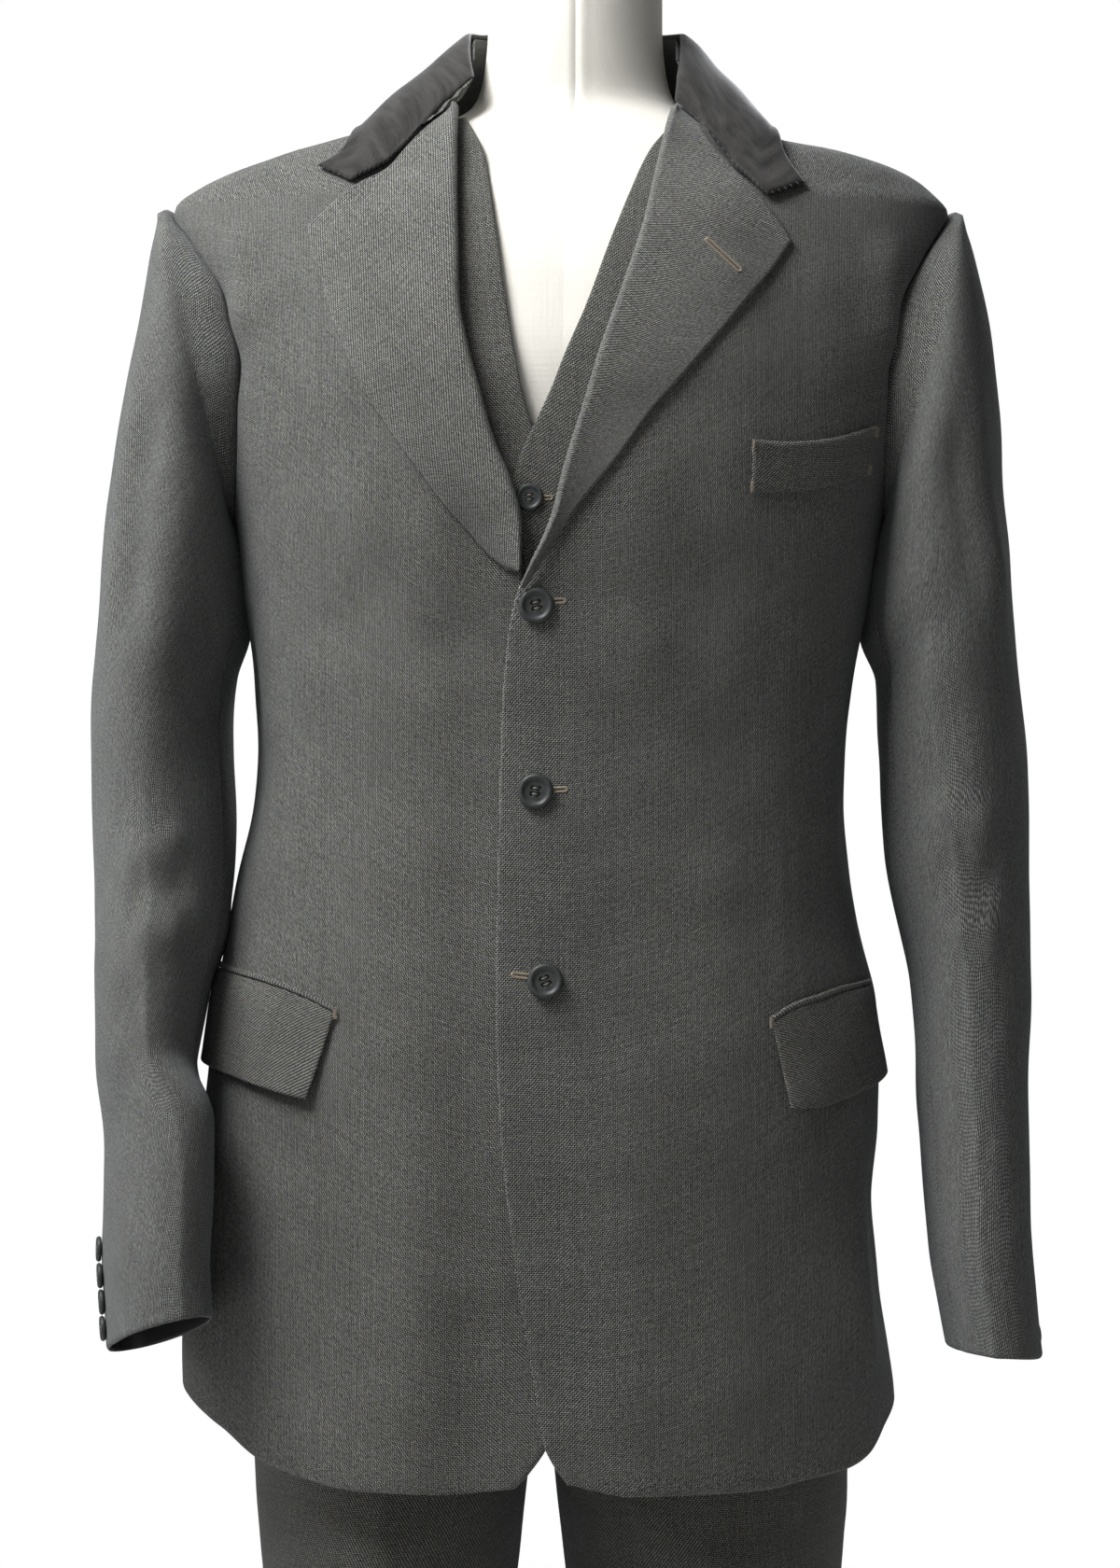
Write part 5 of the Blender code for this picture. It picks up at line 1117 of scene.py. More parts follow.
# ---- the sleeves -------------------------------------------------------------------------------
# Each is cut in a top and an under sleeve, eased into the armhole over a thin wadding roll, lined,
# and pressed with a crease down its front. The wearer's right sleeve bends forward at the elbow.
SLEEVE_ROWS = {
    # middle x, middle y, middle z, tilt, half width, half depth, turn, pitch, back seam
    "left": (
        (0.2162, 0.0105, 1.3385, 77.3, 0.0986, 0.0775, 0.0, 0.0, 160.0),
        (0.2193, 0.0080, 1.3270, 74.1, 0.0943, 0.0800, 0.0, 0.0, 160.0),
        (0.2216, 0.0070, 1.2985, 67.9, 0.0827, 0.0850, 0.0, 0.0, 160.0),
        (0.2239, 0.0060, 1.2670, 60.0, 0.0727, 0.0860, 0.0, 0.0, 160.0),
        (0.2262, 0.0040, 1.2360, 52.0, 0.0637, 0.0855, 0.0, 0.0, 158.0),
        (0.2330, 0.0020, 1.1900, 40.0, 0.0500, 0.0840, 0.0, 0.0, 156.0),
        (0.2335, 0.0000, 1.1385, 20.0, 0.0430, 0.0820, 0.0, 0.0, 154.0),
        (0.2355, -0.006, 1.0620, 3.0, 0.0400, 0.0780, 0.0, 4.0, 150.0),
        (0.2405, -0.018, 0.9800, 0.0, 0.0322, 0.0720, 0.0, 10.0, 148.0),
        (0.2415, -0.036, 0.9000, -2.0, 0.0290, 0.0660, 0.0, 12.0, 144.0),
        (0.2460, -0.052, 0.8300, -4.0, 0.0265, 0.0610, 0.0, 10.0, 140.0),
        (0.2545, -0.060, 0.7720, -5.0, 0.0248, 0.0575, 0.0, 6.0, 138.0),
    ),
    "right": (
        (0.2168, 0.0105, 1.3390, 76.8, 0.0998, 0.0775, 0.0, 0.0, 160.0),
        (0.2190, 0.0080, 1.3270, 74.5, 0.0951, 0.0800, 0.0, 0.0, 160.0),
        (0.2219, 0.0070, 1.2985, 68.5, 0.0829, 0.0850, 0.0, 0.0, 160.0),
        (0.2258, 0.0060, 1.2675, 60.6, 0.0718, 0.0860, 0.0, 0.0, 160.0),
        (0.2293, 0.0040, 1.2365, 52.4, 0.0627, 0.0855, 0.0, 0.0, 158.0),
        (0.2367, 0.0020, 1.1900, 39.1, 0.0493, 0.0840, 0.0, 0.0, 156.0),
        (0.2398, 0.0000, 1.1385, 20.0, 0.0407, 0.0820, 0.0, 0.0, 154.0),
        (0.2380, -0.008, 1.0620, 3.0, 0.0396, 0.0780, 2.0, 5.0, 150.0),
        (0.2360, -0.024, 1.0150, 0.0, 0.0375, 0.0740, 4.0, 10.0, 150.0),
        (0.2392, -0.041, 0.9750, -2.0, 0.0312, 0.0700, 7.0, 15.0, 150.0),
        (0.2385, -0.057, 0.9350, -4.0, 0.0270, 0.0645, 9.0, 18.0, 150.0),
        (0.2275, -0.074, 0.8930, -5.0, 0.0268, 0.0610, 19.0, 20.0, 150.0),
        (0.2238, -0.088, 0.8480, -6.0, 0.0250, 0.0585, 23.0, 20.0, 150.0),
        (0.2222, -0.098, 0.7880, -6.0, 0.0245, 0.0560, 25.0, 18.0, 150.0),
    ),
}
# How far the hung cloth lies outside (or, negative, inside) those sections: (height, distance).
SLEEVE_HANG = {
    "left": ((0.76, -0.0045), (0.84, -0.0035), (0.90, 0.0), (1.10, -0.0015), (1.18, -0.0050),
             (1.25, -0.0070), (1.32, -0.0045), (1.38, -0.0025), (1.44, -0.0040)),
    "right": ((0.77, 0.0020), (0.80, 0.0040), (0.83, 0.0055), (0.87, 0.0030), (0.93, -0.0005),
              (1.00, -0.0030), (1.10, -0.0050), (1.30, -0.0050), (1.40, -0.0050), (1.44, -0.0065)),
}
FRONT_SLEEVE_SEAM = -65.0
SLEEVE_LEVELS = 150
HEAD_GAP = (0.0022, 0.0030)
HEAD_SUNK = 0.0012
# Creases of the sleeves: the turn is 0 at the front, 90 at the outer side, 180 at the back.
SLEEVE_FOLDS = {
    "right": (
        # half width, rise, (turn, station along the sleeve from 0 at its head to 1 at its cuff)
        (0.011, -0.0042, ((20.0, 0.10), (22.0, 0.22), (16.0, 0.36))),
        (0.013, 0.0036, ((38.0, 0.08), (40.0, 0.22), (32.0, 0.38))),
        (0.012, 0.0030, ((-10.0, 0.14), (-6.0, 0.26), (-8.0, 0.38))),
        (0.011, 0.0034, ((-30.0, 0.50), (0.0, 0.53), (30.0, 0.54))),
        (0.011, -0.0034, ((-32.0, 0.56), (-4.0, 0.58), (26.0, 0.585))),
        (0.011, 0.0030, ((-28.0, 0.62), (0.0, 0.63), (24.0, 0.63))),
        (0.013, -0.0026, ((10.0, 0.66), (26.0, 0.72), (30.0, 0.80))),
        (0.012, 0.0030, ((120.0, 0.30), (140.0, 0.36), (165.0, 0.40))),
        (0.012, -0.0030, ((118.0, 0.44), (142.0, 0.48), (168.0, 0.50))),
        (0.012, 0.0034, ((110.0, 0.54), (140.0, 0.56), (170.0, 0.57))),
    ),
    "left": (
        (0.012, 0.0034, ((28.0, 0.08), (34.0, 0.22), (34.0, 0.36))),
        (0.010, -0.0034, ((8.0, 0.10), (12.0, 0.22), (14.0, 0.34))),
        (0.011, 0.0026, ((-24.0, 0.16), (-20.0, 0.26), (-18.0, 0.38))),
        (0.012, 0.0030, ((-34.0, 0.46), (-6.0, 0.49), (24.0, 0.50))),
        (0.012, -0.0030, ((-36.0, 0.53), (-8.0, 0.55), (24.0, 0.56))),
        (0.012, 0.0026, ((-30.0, 0.60), (-4.0, 0.61), (22.0, 0.61))),
        (0.012, 0.0030, ((120.0, 0.30), (142.0, 0.36), (165.0, 0.41))),
        (0.012, -0.0028, ((118.0, 0.43), (142.0, 0.47), (168.0, 0.50))),
        (0.012, 0.0032, ((110.0, 0.54), (140.0, 0.56), (170.0, 0.57))),
    ),
}
PRESSED_TURNS = {"left": -14.0, "right": 4.0}


def sleeve_turns(part, shares, seam):
    """Turns at shares across a part of a sleeve whose back seam lies at the turn seam."""
    if part == "top":
        return FRONT_SLEEVE_SEAM + (seam - FRONT_SLEEVE_SEAM) * shares
    if part == "under":
        return seam + (FRONT_SLEEVE_SEAM + 360.0 - seam) * shares
    return FRONT_SLEEVE_SEAM + 360.0 * shares


def sleeve_grid(name, part, shares):
    """Points of a part of a sleeve from its head to its cuff, and how far along it each row is."""
    side = SIDES[name]
    table = SLEEVE_ROWS[name]
    head = np.radians(sleeve_turns(part, shares, table[0][-1]))
    y = COAT_ARMHOLE["y"] - COAT_ARMHOLE["run"] * np.cos(head)
    height = COAT_ARMHOLE["height"] + COAT_ARMHOLE["rise"] * np.sin(head)
    turn = turn_at_y(y, height)
    seam_line, out = coat_pair(side, turn, height)
    ring = coat_raw(side, turn, height)
    ring[:, 0] += side * (HEAD_GAP[0] + (HEAD_GAP[1] - HEAD_GAP[0]) * ease(-2.0 * np.sin(head)))
    rings = [seam_line - out * HEAD_SUNK, ring]
    for x, y, z, tilt, half_width, half_depth, yaw, pitch, seam in table:
        lean, nose, spin = math.radians(tilt), math.radians(pitch), math.radians(-yaw)
        outward = np.array((math.cos(lean), 0.0, math.sin(lean))) * half_width
        forward = np.array((0.0, -math.cos(nose), math.sin(nose))) * half_depth
        angle = np.radians(sleeve_turns(part, shares, seam))[:, None]
        offset = outward * np.sin(angle) + forward * np.cos(angle)
        across = offset[:, 0] * math.cos(spin) - offset[:, 1] * math.sin(spin)
        along = offset[:, 0] * math.sin(spin) + offset[:, 1] * math.cos(spin)
        rings.append(np.stack((side * (x + across), y + along, z + offset[:, 2]), axis=-1))
    grid = np.array(rings)
    steps = np.linalg.norm(np.diff(grid, axis=0), axis=-1).mean(axis=1)
    places = np.concatenate(([0.0], np.cumsum(steps)))
    stations = np.sort(np.concatenate((
        places[1] * np.array((0.0, 0.25, 0.5, 0.75)),
        np.linspace(places[1], places[-1], SLEEVE_LEVELS)[:-1],
        places[-1] - np.array((0.0035, 0.002, 0.0008, 0.0)),
    )))
    points = curve(list(zip(places, grid)), stations)
    away = np.cumsum(np.linalg.norm(np.diff(points, axis=0, prepend=points[:1]), axis=-1), axis=0)
    points[..., 0] += side * curve(SLEEVE_HANG[name], points[..., 2]) * ease(away / 0.020)
    return points, stations / places[-1]


def at_place(place, places, points):
    """The point at a place along a line of points."""
    return np.array([np.interp(place, places, points[:, k]) for k in range(points.shape[1])])


jacket_sleeve_cloth = suiting_look("sleeve_sharkskin", tilt=3.0, warm=-0.1)
whole_shares = np.linspace(0.0, 1.0, 145)
whole_turns = sleeve_turns("whole", whole_shares, 0.0)
top_sleeves = {}
for name, side in SIDES.items():
    # The whole way round is worked out once, so that a fold crosses a seam unbroken.
    whole, stations = sleeve_grid(name, "whole", whole_shares)
    lines = []
    for half_width, height, spots in SLEEVE_FOLDS[name]:
        line = [at_place(station, stations, np.array([at_place(turn, whole_turns, ring) for ring in whole]))
                for turn, station in spots]
        lines.append((half_width, height, smoothed(line)))
    for part, columns in (("top", 70), ("under", 46)):
        shares = places_with_edges(columns)
        points, places = sleeve_grid(name, part, shares)
        outs = -side * unit(np.cross(np.gradient(points, axis=1), np.gradient(points, axis=0)))
        down = laid_out(points)[1]
        points = points + outs * (COAT_CLOTH * ease(down / 0.005))[..., None]
        rise = uneven(points, 0.100, 0.0010, 41) + uneven(points, 0.040, 0.0003, 42)
        for half_width, height, line in lines:
            rise += ridge(points, line, half_width, height)
        u, v = laid_out(points)
        if part == "top":
            seams = np.interp(places, np.linspace(0.0, 1.0, len(SLEEVE_ROWS[name]) + 2),
                              [SLEEVE_ROWS[name][0][-1]] * 2 + [row[-1] for row in SLEEVE_ROWS[name]])
            pressed_share = (PRESSED_TURNS[name] - FRONT_SLEEVE_SEAM) / (seams - FRONT_SLEEVE_SEAM)
            crease = np.array([np.interp(share, shares, row) for share, row in zip(pressed_share, u)])
            strength = ease((places[:, None] - 0.42) / 0.18)
            rise += 0.0024 * strength * np.exp(-np.abs(u - crease[:, None]) / 0.0045)
            # The eased head stands up a little just below its seam.
            top_share = np.exp(-((shares - 0.68) / 0.30) ** 2)
            rise += 0.0009 * top_share * np.exp(-((v - 0.010) / 0.008) ** 2)
            pucker = np.sin(u / 0.0075 * math.pi) * np.exp(-((v - 0.012) / 0.012) ** 2)
            rise += 0.00035 * pucker * top_share
        rise *= ease(np.minimum(u, u[:, -1:] - u) / 0.010) * 0.8 + 0.2
        points = points + outs * rise[..., None]
        sewn(points)
        if part == "top":
            top_sleeves[name] = (points, outs, shares)
        cloth(f"jacket_{part}_sleeve_{name}", points, outs,
              COAT_CLOTH, (jacket_sleeve_cloth, jacket_lining),
              rolls=(0.004, 0.004, 0.004, 0.0022),
              sinks=(0.5, 0.5, 0.6, 0.55), uv_start=(u[:, -1:] * -0.5 * side, 0.0))


# ---- the collar --------------------------------------------------------------------------------
# A cotton velvet top collar, brushed one way and worn at its edges, folded over a stand of the
# jacket's cloth and sewn by hand to the neck and along the gorge.
VELVET_CLOTH = 0.0026
COLLAR_STATIONS = (
    # fold x, y, z,            edge turn, height, foot turn, bulge
    (0.0000, 0.0705, 1.5600, 180.0, 1.5060, 180.0, 0.0040),
    (0.0330, 0.0640, 1.5580, 155.0, 1.5030, 155.0, 0.0040),
    (0.0540, 0.0400, 1.5520, 125.0, 1.4950, 125.0, 0.0050),
    (0.0630, 0.0080, 1.5450, 92.0, 1.4815, 92.0, 0.0060),
    (0.0620, -0.0180, 1.5280, 51.0, 1.4725, 62.0, 0.0040),
    (0.0590, -0.0370, 1.5090, 38.0, 1.4580, 45.0, 0.0025),
)
STAND_END = 4.0
COLLAR_SMOOTHINGS = 110
COLLAR_LIFT = VELVET_CLOTH + 0.0019
COLLAR_ENDS = {
    # share across, x, height along the gorge, from the fold's end to the notch and the corner
    "left": ((0.00, 0.0650, 1.4905), (0.15, 0.0787, 1.4768), (0.45, 0.0992, 1.4468),
             (0.75, 0.1165, 1.4290), (1.00, 0.1395, 1.4385)),
    "right": ((0.00, -0.0575, 1.4910), (0.15, -0.0812, 1.4700), (0.45, -0.0982, 1.4502),
              (0.75, -0.1185, 1.4385), (1.00, -0.1385, 1.4500)),
}


def velvet_look():
    """Short pile brushed one way: pale streaks and clouds in its colour follow the brushing and are painted
    sheen, and the shader's sheen pales it where it is seen along its side.
    """
    look, tree, shader = finish("charcoal_velvet", 0.95, Sheen_Weight=1.0, Sheen_Roughness=0.32,
                                Sheen_Tint=(0.62, 0.63, 0.66, 1.0), Specular_IOR_Level=0.1)
    flat = add(tree, "UVMap", uv_map="weave").outputs[0]
    brushed = add(tree, "Mapping", {"Vector": flat, "Rotation": (0.0, 0.0, 0.9), "Scale": (90.0, 150.0, 1.0)})
    streak = noise(tree, brushed.outputs[0], 1.0, 4.0)
    pile, cloud = noise(tree, flat, 1700.0, 2.0), noise(tree, flat, 60.0, 3.0)
    share = maths(tree, "ADD", maths(tree, "MULTIPLY", streak, 0.6), maths(tree, "MULTIPLY", cloud, 1.1))
    share = maths(tree, "MULTIPLY", share, maths(tree, "ADD", pile, 0.5))
    # Painted sheen: the streaks and clouds lift the colour from near black towards grey, in patches along the
    # brushing.
    colour = blend(tree, maths(tree, "MULTIPLY_ADD", share, 1.6, -0.75),
                   (0.014, 0.014, 0.014), (0.060, 0.058, 0.056))
    rise = maths(tree, "ADD", maths(tree, "MULTIPLY", pile, 0.6), maths(tree, "MULTIPLY", streak, 0.5))
    dress(tree, shader, colour, rise, 0.5, 0.0006)
    return look


def off_coat(side, points, lift):
    """Points moved straight out until they are clear of the jacket."""
    height = points[..., 2]
    width, front, back, middle, square = [column(COAT_SECTIONS, i, height) for i in range(1, 6)]
    across = side * (points[..., 0] - middle) / width
    along = -points[..., 1] / np.where(points[..., 1] < 0.0, front, back)
    turn = np.degrees(np.arctan2(np.sign(across) * np.abs(across) ** (square / 2.0),
                                 np.sign(along) * np.abs(along) ** (square / 2.0)))
    base, out = coat_raw(side, turn, height), coat_normal(side, turn, height)
    short = np.maximum(lift - ((points - base) * out).sum(axis=-1), 0.0)
    return points + out * short[..., None]


def collar_station(side, at):
    """Fold, outer edge, foot of the stand and bulge of the collar at places along it."""
    places = range(len(COLLAR_STATIONS))
    fold_x, fold_y, fold_z, edge_turn, edge_height, foot_turn, bulge = [
        curve([(i, COLLAR_STATIONS[i][k]) for i in places], at) for k in range(7)
    ]
    fold = np.stack((NECK_MIDDLE[0] + side * fold_x, fold_y, fold_z), axis=-1)
    edge = coat_raw(side, edge_turn, edge_height) + COLLAR_LIFT * coat_normal(side, edge_turn, edge_height)
    neck = COAT_NECK + (COAT_NAPE - COAT_NECK) * ease((foot_turn - 90.0) / 90.0)
    foot = coat_raw(side, foot_turn, neck) - 0.0002 * coat_normal(side, foot_turn, neck)
    foot[..., 2] = neck + 2.0 * SEAM
    return fold, edge, foot, bulge


def collar_end(name, share):
    """Where the collar ends at a share across it, as x and height seen from the front."""
    shares, across, heights = zip(*COLLAR_ENDS[name])
    return np.interp(share, shares, across), np.interp(share, shares, heights)


def collar_half(side, name, shares):
    """Half of the collar, from the middle of the back to the gorge."""
    at = np.linspace(0.0, len(COLLAR_STATIONS) - 1, 64)
    fold, edge, _, bulge = collar_station(side, at)
    out = unit(np.stack((edge[:, 0] - fold[:, 0], edge[:, 1] - fold[:, 1],
                         0.8 * (fold[:, 2] - edge[:, 2])), axis=-1))
    t = shares[None, :, None]
    points = (fold[:, None] * (1.0 - t) + edge[:, None] * t
              + out[:, None] * bulge[:, None, None] * 4.0 * t * (1.0 - t))
    lift = COLLAR_LIFT * ease(shares / 0.5)[None, :]
    clear = np.where(shares > 0.30, lift, -1.0)
    points = off_coat(side, points, clear)
    x, height = collar_end(name, shares)
    turn = turn_at_x(side, x, height)
    end = coat_raw(side, turn, height) + COLLAR_LIFT * coat_normal(side, turn, height)
    steps = np.concatenate((np.linspace(0.0, 1.0, 22)[1:-1], (0.985, 1.0)))[:, None, None]
    tip = points[-1][None] * (1.0 - steps) + end[None] * steps
    points = np.concatenate((points, tip))
    row = np.arange(len(points))[:, None, None]
    share = (ease((row - 24.0) / 12.0) * ease(t / 0.4))[1:-1]
    for _ in range(COLLAR_SMOOTHINGS):
        between = (points[:-2] + 2.0 * points[1:-1] + points[2:]) / 4.0
        points[1:-1] += share * (between - points[1:-1])
    return off_coat(side, points, clear)


def outs_from(points, inside):
    out = unit(np.cross(np.gradient(points, axis=1), np.gradient(points, axis=0)))
    facing = ((points - np.array(inside)) * out).sum(axis=-1)
    return out * np.where(facing < 0.0, -1.0, 1.0)[..., None]


shares = np.concatenate(((0.0, 0.01, 0.025), np.linspace(0.045, 0.96, 30), (0.975, 0.987, 0.995, 1.0)))
halves = {name: collar_half(side, name, shares) for name, side in SIDES.items()}
points = np.concatenate((halves["left"][::-1], halves["right"][1:]))
outs = outs_from(points, (NECK_MIDDLE[0], 0.0, 1.35))
rise = uneven(points, 0.030, 0.0004, 51) + uneven(points, 0.080, 0.0005, 52)
points = points + outs * rise[..., None]
cloth("collar_velvet", points, outs, VELVET_CLOTH, (velvet_look(), jacket_cloth),
      rolls=(0.003, 0.0028, 0.0026, 0.0026), sinks=(0.6, 0.55, 0.55, 0.55))

lines = {}
for name, side in SIDES.items():
    fold, _, foot, _ = collar_station(side, np.linspace(0.0, STAND_END, 60))
    inward = unit(np.stack((NECK_MIDDLE[0] - fold[:, 0], NECK_MIDDLE[1] - fold[:, 1],
                            np.zeros(len(fold))), axis=-1))
    top = fold + inward * (VELVET_CLOTH * 0.9) + np.array((0.0, 0.0, -0.0045))
    steps = np.linspace(0.0, 1.0, 14)[None, :, None]
    lines[name] = top[:, None] * (1.0 - steps) + foot[:, None] * steps
points = np.concatenate((lines["left"][::-1], lines["right"][1:]))
outs = outs_from(points, (NECK_MIDDLE[0], NECK_MIDDLE[1], 1.52))
cloth("collar_stand", points, outs, VEST_CLOTH, (jacket_cloth, jacket_cloth))


# ---- the pockets -------------------------------------------------------------------------------
# A welt sewn up at both ends on the wearer's left chest, and on each side a flap that hangs from
# a jetted slit in the front. Their ends are held by small bars of thread.
POCKET_CLOTH = 0.0016
JET_WIDTH = 0.0036
FLAPS = {
    # (x, height) along the top edge and along the bottom edge
    "left": (
        ((0.1790, 0.9800), (0.1618, 0.9785), (0.1458, 0.9745), (0.1305, 0.9705), (0.1175, 0.9635)),
        ((0.1850, 0.9285), (0.1740, 0.9230), (0.1567, 0.9180), (0.1400, 0.9150), (0.1265, 0.9160)),
    ),
    "right": (
        ((-0.1985, 0.9900), (-0.1831, 0.9875), (-0.1620, 0.9830), (-0.1407, 0.9760), (-0.1255, 0.9690)),
        ((-0.2030, 0.9360), (-0.1900, 0.9325), (-0.1720, 0.9275), (-0.1560, 0.9240), (-0.1400, 0.9205)),
    ),
}
CHEST_WELT = (
    ((0.1068, 1.2890), (0.1230, 1.2885), (0.1400, 1.2900), (0.1580, 1.2940), (0.1790, 1.3020)),
    ((0.1060, 1.2592), (0.1230, 1.2600), (0.1400, 1.2625), (0.1560, 1.2665), (0.1740, 1.2735)),
)


def edge_line(side, outline, shares):
    """Evenly turned (turn, height) places along an outline of (x, height) pairs."""
    first, last = [float(turn_at_x(side, *outline[i])) for i in (0, -1)]
    turns = first + (last - first) * shares
    heights = np.full(shares.shape, sum(height for _, height in outline) / len(outline))
    for _ in range(4):
        heights = curve(sorted(outline), coat_raw(side, turns, heights)[..., 0])
    return turns, heights


def patch(side, top_edge, bottom_edge, top_lift, bottom_lift, columns, rows):
    """A flap, jet or welt laid on a front between two outlines."""
    shares = places_with_edges(columns, (0.0, 0.004, 0.012, 0.025))
    steps = places_with_edges(rows, (0.0, 0.012, 0.03, 0.06))[:, None]
    top_turns, top_heights = edge_line(side, top_edge, shares)
    low_turns, low_heights = edge_line(side, bottom_edge, shares)
    turns = top_turns + (low_turns - top_turns) * steps
    heights = top_heights + (low_heights - top_heights) * steps
    return coat_pair(side, turns, heights, top_lift + (bottom_lift - top_lift) * steps), steps, shares


flap_cloth = suiting_look("flap_sharkskin", tilt=-8.0, tone=1.0, warm=0.1)
lift = POCKET_CLOTH + LAID
for name, side in SIDES.items():
    top_edge, bottom_edge = FLAPS[name]
    (points, outs), steps, shares = patch(side, top_edge, bottom_edge, lift, lift + 0.0035, 44, 30)
    curl = 0.0012 * steps ** 2 * np.sin(shares * 2.6 * math.pi + 0.8)[None, :]
    points = points + outs * (uneven(points, 0.04, 0.0004, 61) + curl)[..., None]
    cloth(f"pocket_flap_{name}", points, outs, POCKET_CLOTH,
          (flap_cloth, jacket_lining),
          rolls=(0.0018, 0.0018, 0.0012, 0.0020), sinks=(0.5, 0.5, 0.2, 0.55),
          uv_start=(side * points[:, :1, 0], 0.0))
    upper = [(x, height + JET_WIDTH + SEAM) for x, height in top_edge]
    lower = [(x, height + SEAM) for x, height in top_edge]
    (points, outs), steps, shares = patch(side, upper, lower, lift, lift, 44, 8)
    points = points + outs * (0.0004 * np.sin(steps * math.pi))[..., None]
    cloth(f"pocket_jet_{name}", points, outs, POCKET_CLOTH,
          (flap_cloth, jacket_lining),
          rolls=(0.001, 0.001, 0.0013, 0.0013), sinks=(0.4, 0.4, 0.55, 0.55))
(points, outs), steps, shares = patch(1.0, *CHEST_WELT, lift, lift, 44, 22)
points = points + outs * (0.0005 * np.exp(-((steps - 0.10) / 0.08) ** 2))[..., None]
cloth("chest_welt", points, outs, POCKET_CLOTH, (flap_cloth, jacket_lining),
      rolls=(0.0018, 0.0018, 0.0020, 0.0020), sinks=(0.5, 0.5, 0.55, 0.55),
      uv_start=(points[:, :1, 0], 0.0))


# ---- the buttons -------------------------------------------------------------------------------
# Dull dark grey buttons with a raised rim and four holes, sewn on with grey thread: three on the
# jacket, six on the waistcoat and four on each cuff.
BUTTON_SIZES = {"coat": (0.0200, 0.0036), "vest": (0.0155, 0.0022), "cuff": (0.0145, 0.0028)}
COAT_BUTTON_SPOTS = (
    # x, height, spin
    (-0.0130, 1.1960, 12.0),
    (-0.0135, 1.0930, -8.0),
    (-0.0080, 0.9880, 20.0),
)
VEST_BUTTON_X, VEST_BUTTON_TOP, VEST_BUTTON_PITCH = -0.0170, 1.2560, 0.0510
CUFF_BUTTON_TOP = {"left": 0.8230, "right": 0.8330}
CUFF_BUTTON_PITCH = 0.0145
BUTTON_SEGMENTS = 72
BUTTON_PROFILE = ((0.00, 0.62), (0.50, 0.62), (0.62, 0.68), (0.72, 0.92), (0.80, 1.0), (0.88, 0.95),
                  (0.96, 0.72), (1.00, 0.45))        # share of the radius, share of the height
BUTTON_BACK = ((0.93, 0.12), (0.86, 0.0))
HOLE_REACH = 0.19 * 1.25             # how far from the middle the holes are, as a share of the radius
THREAD_TONE = (0.17, 0.155, 0.125)


def horn_look():
    """Dull horn with pale swirls, rubbed in places."""
    look, tree, shader = finish("dark_grey_horn", 0.42, Specular_IOR_Level=0.4)
    place = add(tree, "TexCoord").outputs["Object"]
    swirl, wear = noise(tree, place, 190.0, 4.0, Distortion=1.2), noise(tree, place, 1500.0, 2.0)
    share = maths(tree, "MULTIPLY", swirl, maths(tree, "ADD", wear, 0.4))
    dress(tree, shader, blend(tree, share, (0.016, 0.018, 0.019), (0.060, 0.066, 0.066)), wear, 0.15, 0.0002)
    tree.links.new(maths(tree, "MULTIPLY_ADD", wear, 0.3, 0.30), shader.inputs["Roughness"])
    return look


def thread_look(name, tone):
    """Twisted sewing thread."""
    look, tree, shader = finish(name, 0.7, Sheen_Weight=0.2)
    twist = noise(tree, add(tree, "TexCoord").outputs["Object"], 2600.0, 2.0)
    colour = blend(tree, twist, [0.5 * part for part in tone], [1.9 * part for part in tone])
    dress(tree, shader, colour, twist, 0.4, 0.0002)
    return look


def button(name, node, spot, facing, size, spin):
    """A button whose front is dished, rimmed and drilled with four holes; gives the threads over it."""
    diameter, height = size
    radius = diameter / 2.0
    angle = np.linspace(0.0, 2.0 * math.pi, BUTTON_SEGMENTS + 1)[:-1]
    radii = np.concatenate((np.linspace(0.0, 0.5, 18), np.linspace(0.5, 1.0, 18)[1:])) * radius
    grid_r, grid_a = np.meshgrid(radii, angle, indexing="ij")
    x, y = grid_r * np.cos(grid_a), grid_r * np.sin(grid_a)
    z = curve(BUTTON_PROFILE, grid_r / radius) * height
    reach = HOLE_REACH * radius
    for hole_angle in np.radians((45.0, 135.0, 225.0, 315.0)):
        away = np.hypot(x - reach * math.cos(hole_angle), y - reach * math.sin(hole_angle))
        z = z - height * 0.5 * (1.0 - ease((away - 0.085 * radius) / (0.05 * radius)))
    rings = [np.stack((x[i], y[i], z[i]), axis=-1) for i in range(1, len(radii))]
    for share, rise in BUTTON_BACK:
        rings.append(np.stack((share * radius * np.cos(angle), share * radius * np.sin(angle),
                               np.full(BUTTON_SEGMENTS, rise * height)), axis=-1))
    points = np.concatenate([np.array([(0.0, 0.0, z[0, 0])])] + rings + [np.array([(0.0, 0.0, 0.0)])])
    last = 1 + (len(rings) - 1) * BUTTON_SEGMENTS
    faces = []
    for i in range(BUTTON_SEGMENTS):
        after = (i + 1) % BUTTON_SEGMENTS
        faces.append((0, 1 + i, 1 + after))
        for a in range(1, last, BUTTON_SEGMENTS):
            b = a + BUTTON_SEGMENTS
            faces.append((a + i, b + i, b + after, a + after))
        faces.append((last + after, last + i, len(points) - 1))
    aim = Vector(facing).to_track_quat("Z", "Y").to_matrix().to_4x4()
    aim = Matrix.Translation(Vector(spot)) @ (aim @ Matrix.Rotation(math.radians(spin), 4, "Z"))
    build(name, points.tolist(), faces, [horn], node, 55.0, aim=aim)
    over = []
    for row in (-0.707, 0.707):
        for strand in (-0.6, 0.0, 0.6):
            y = row * reach + strand * 0.00032
            ends = [(-reach * 0.707, y, height * 0.50), (0.0, y, height * 0.86 + 0.0002),
                    (reach * 0.707, y, height * 0.50)]
            over.append([tuple(aim @ Vector(end)) for end in ends])
    return over


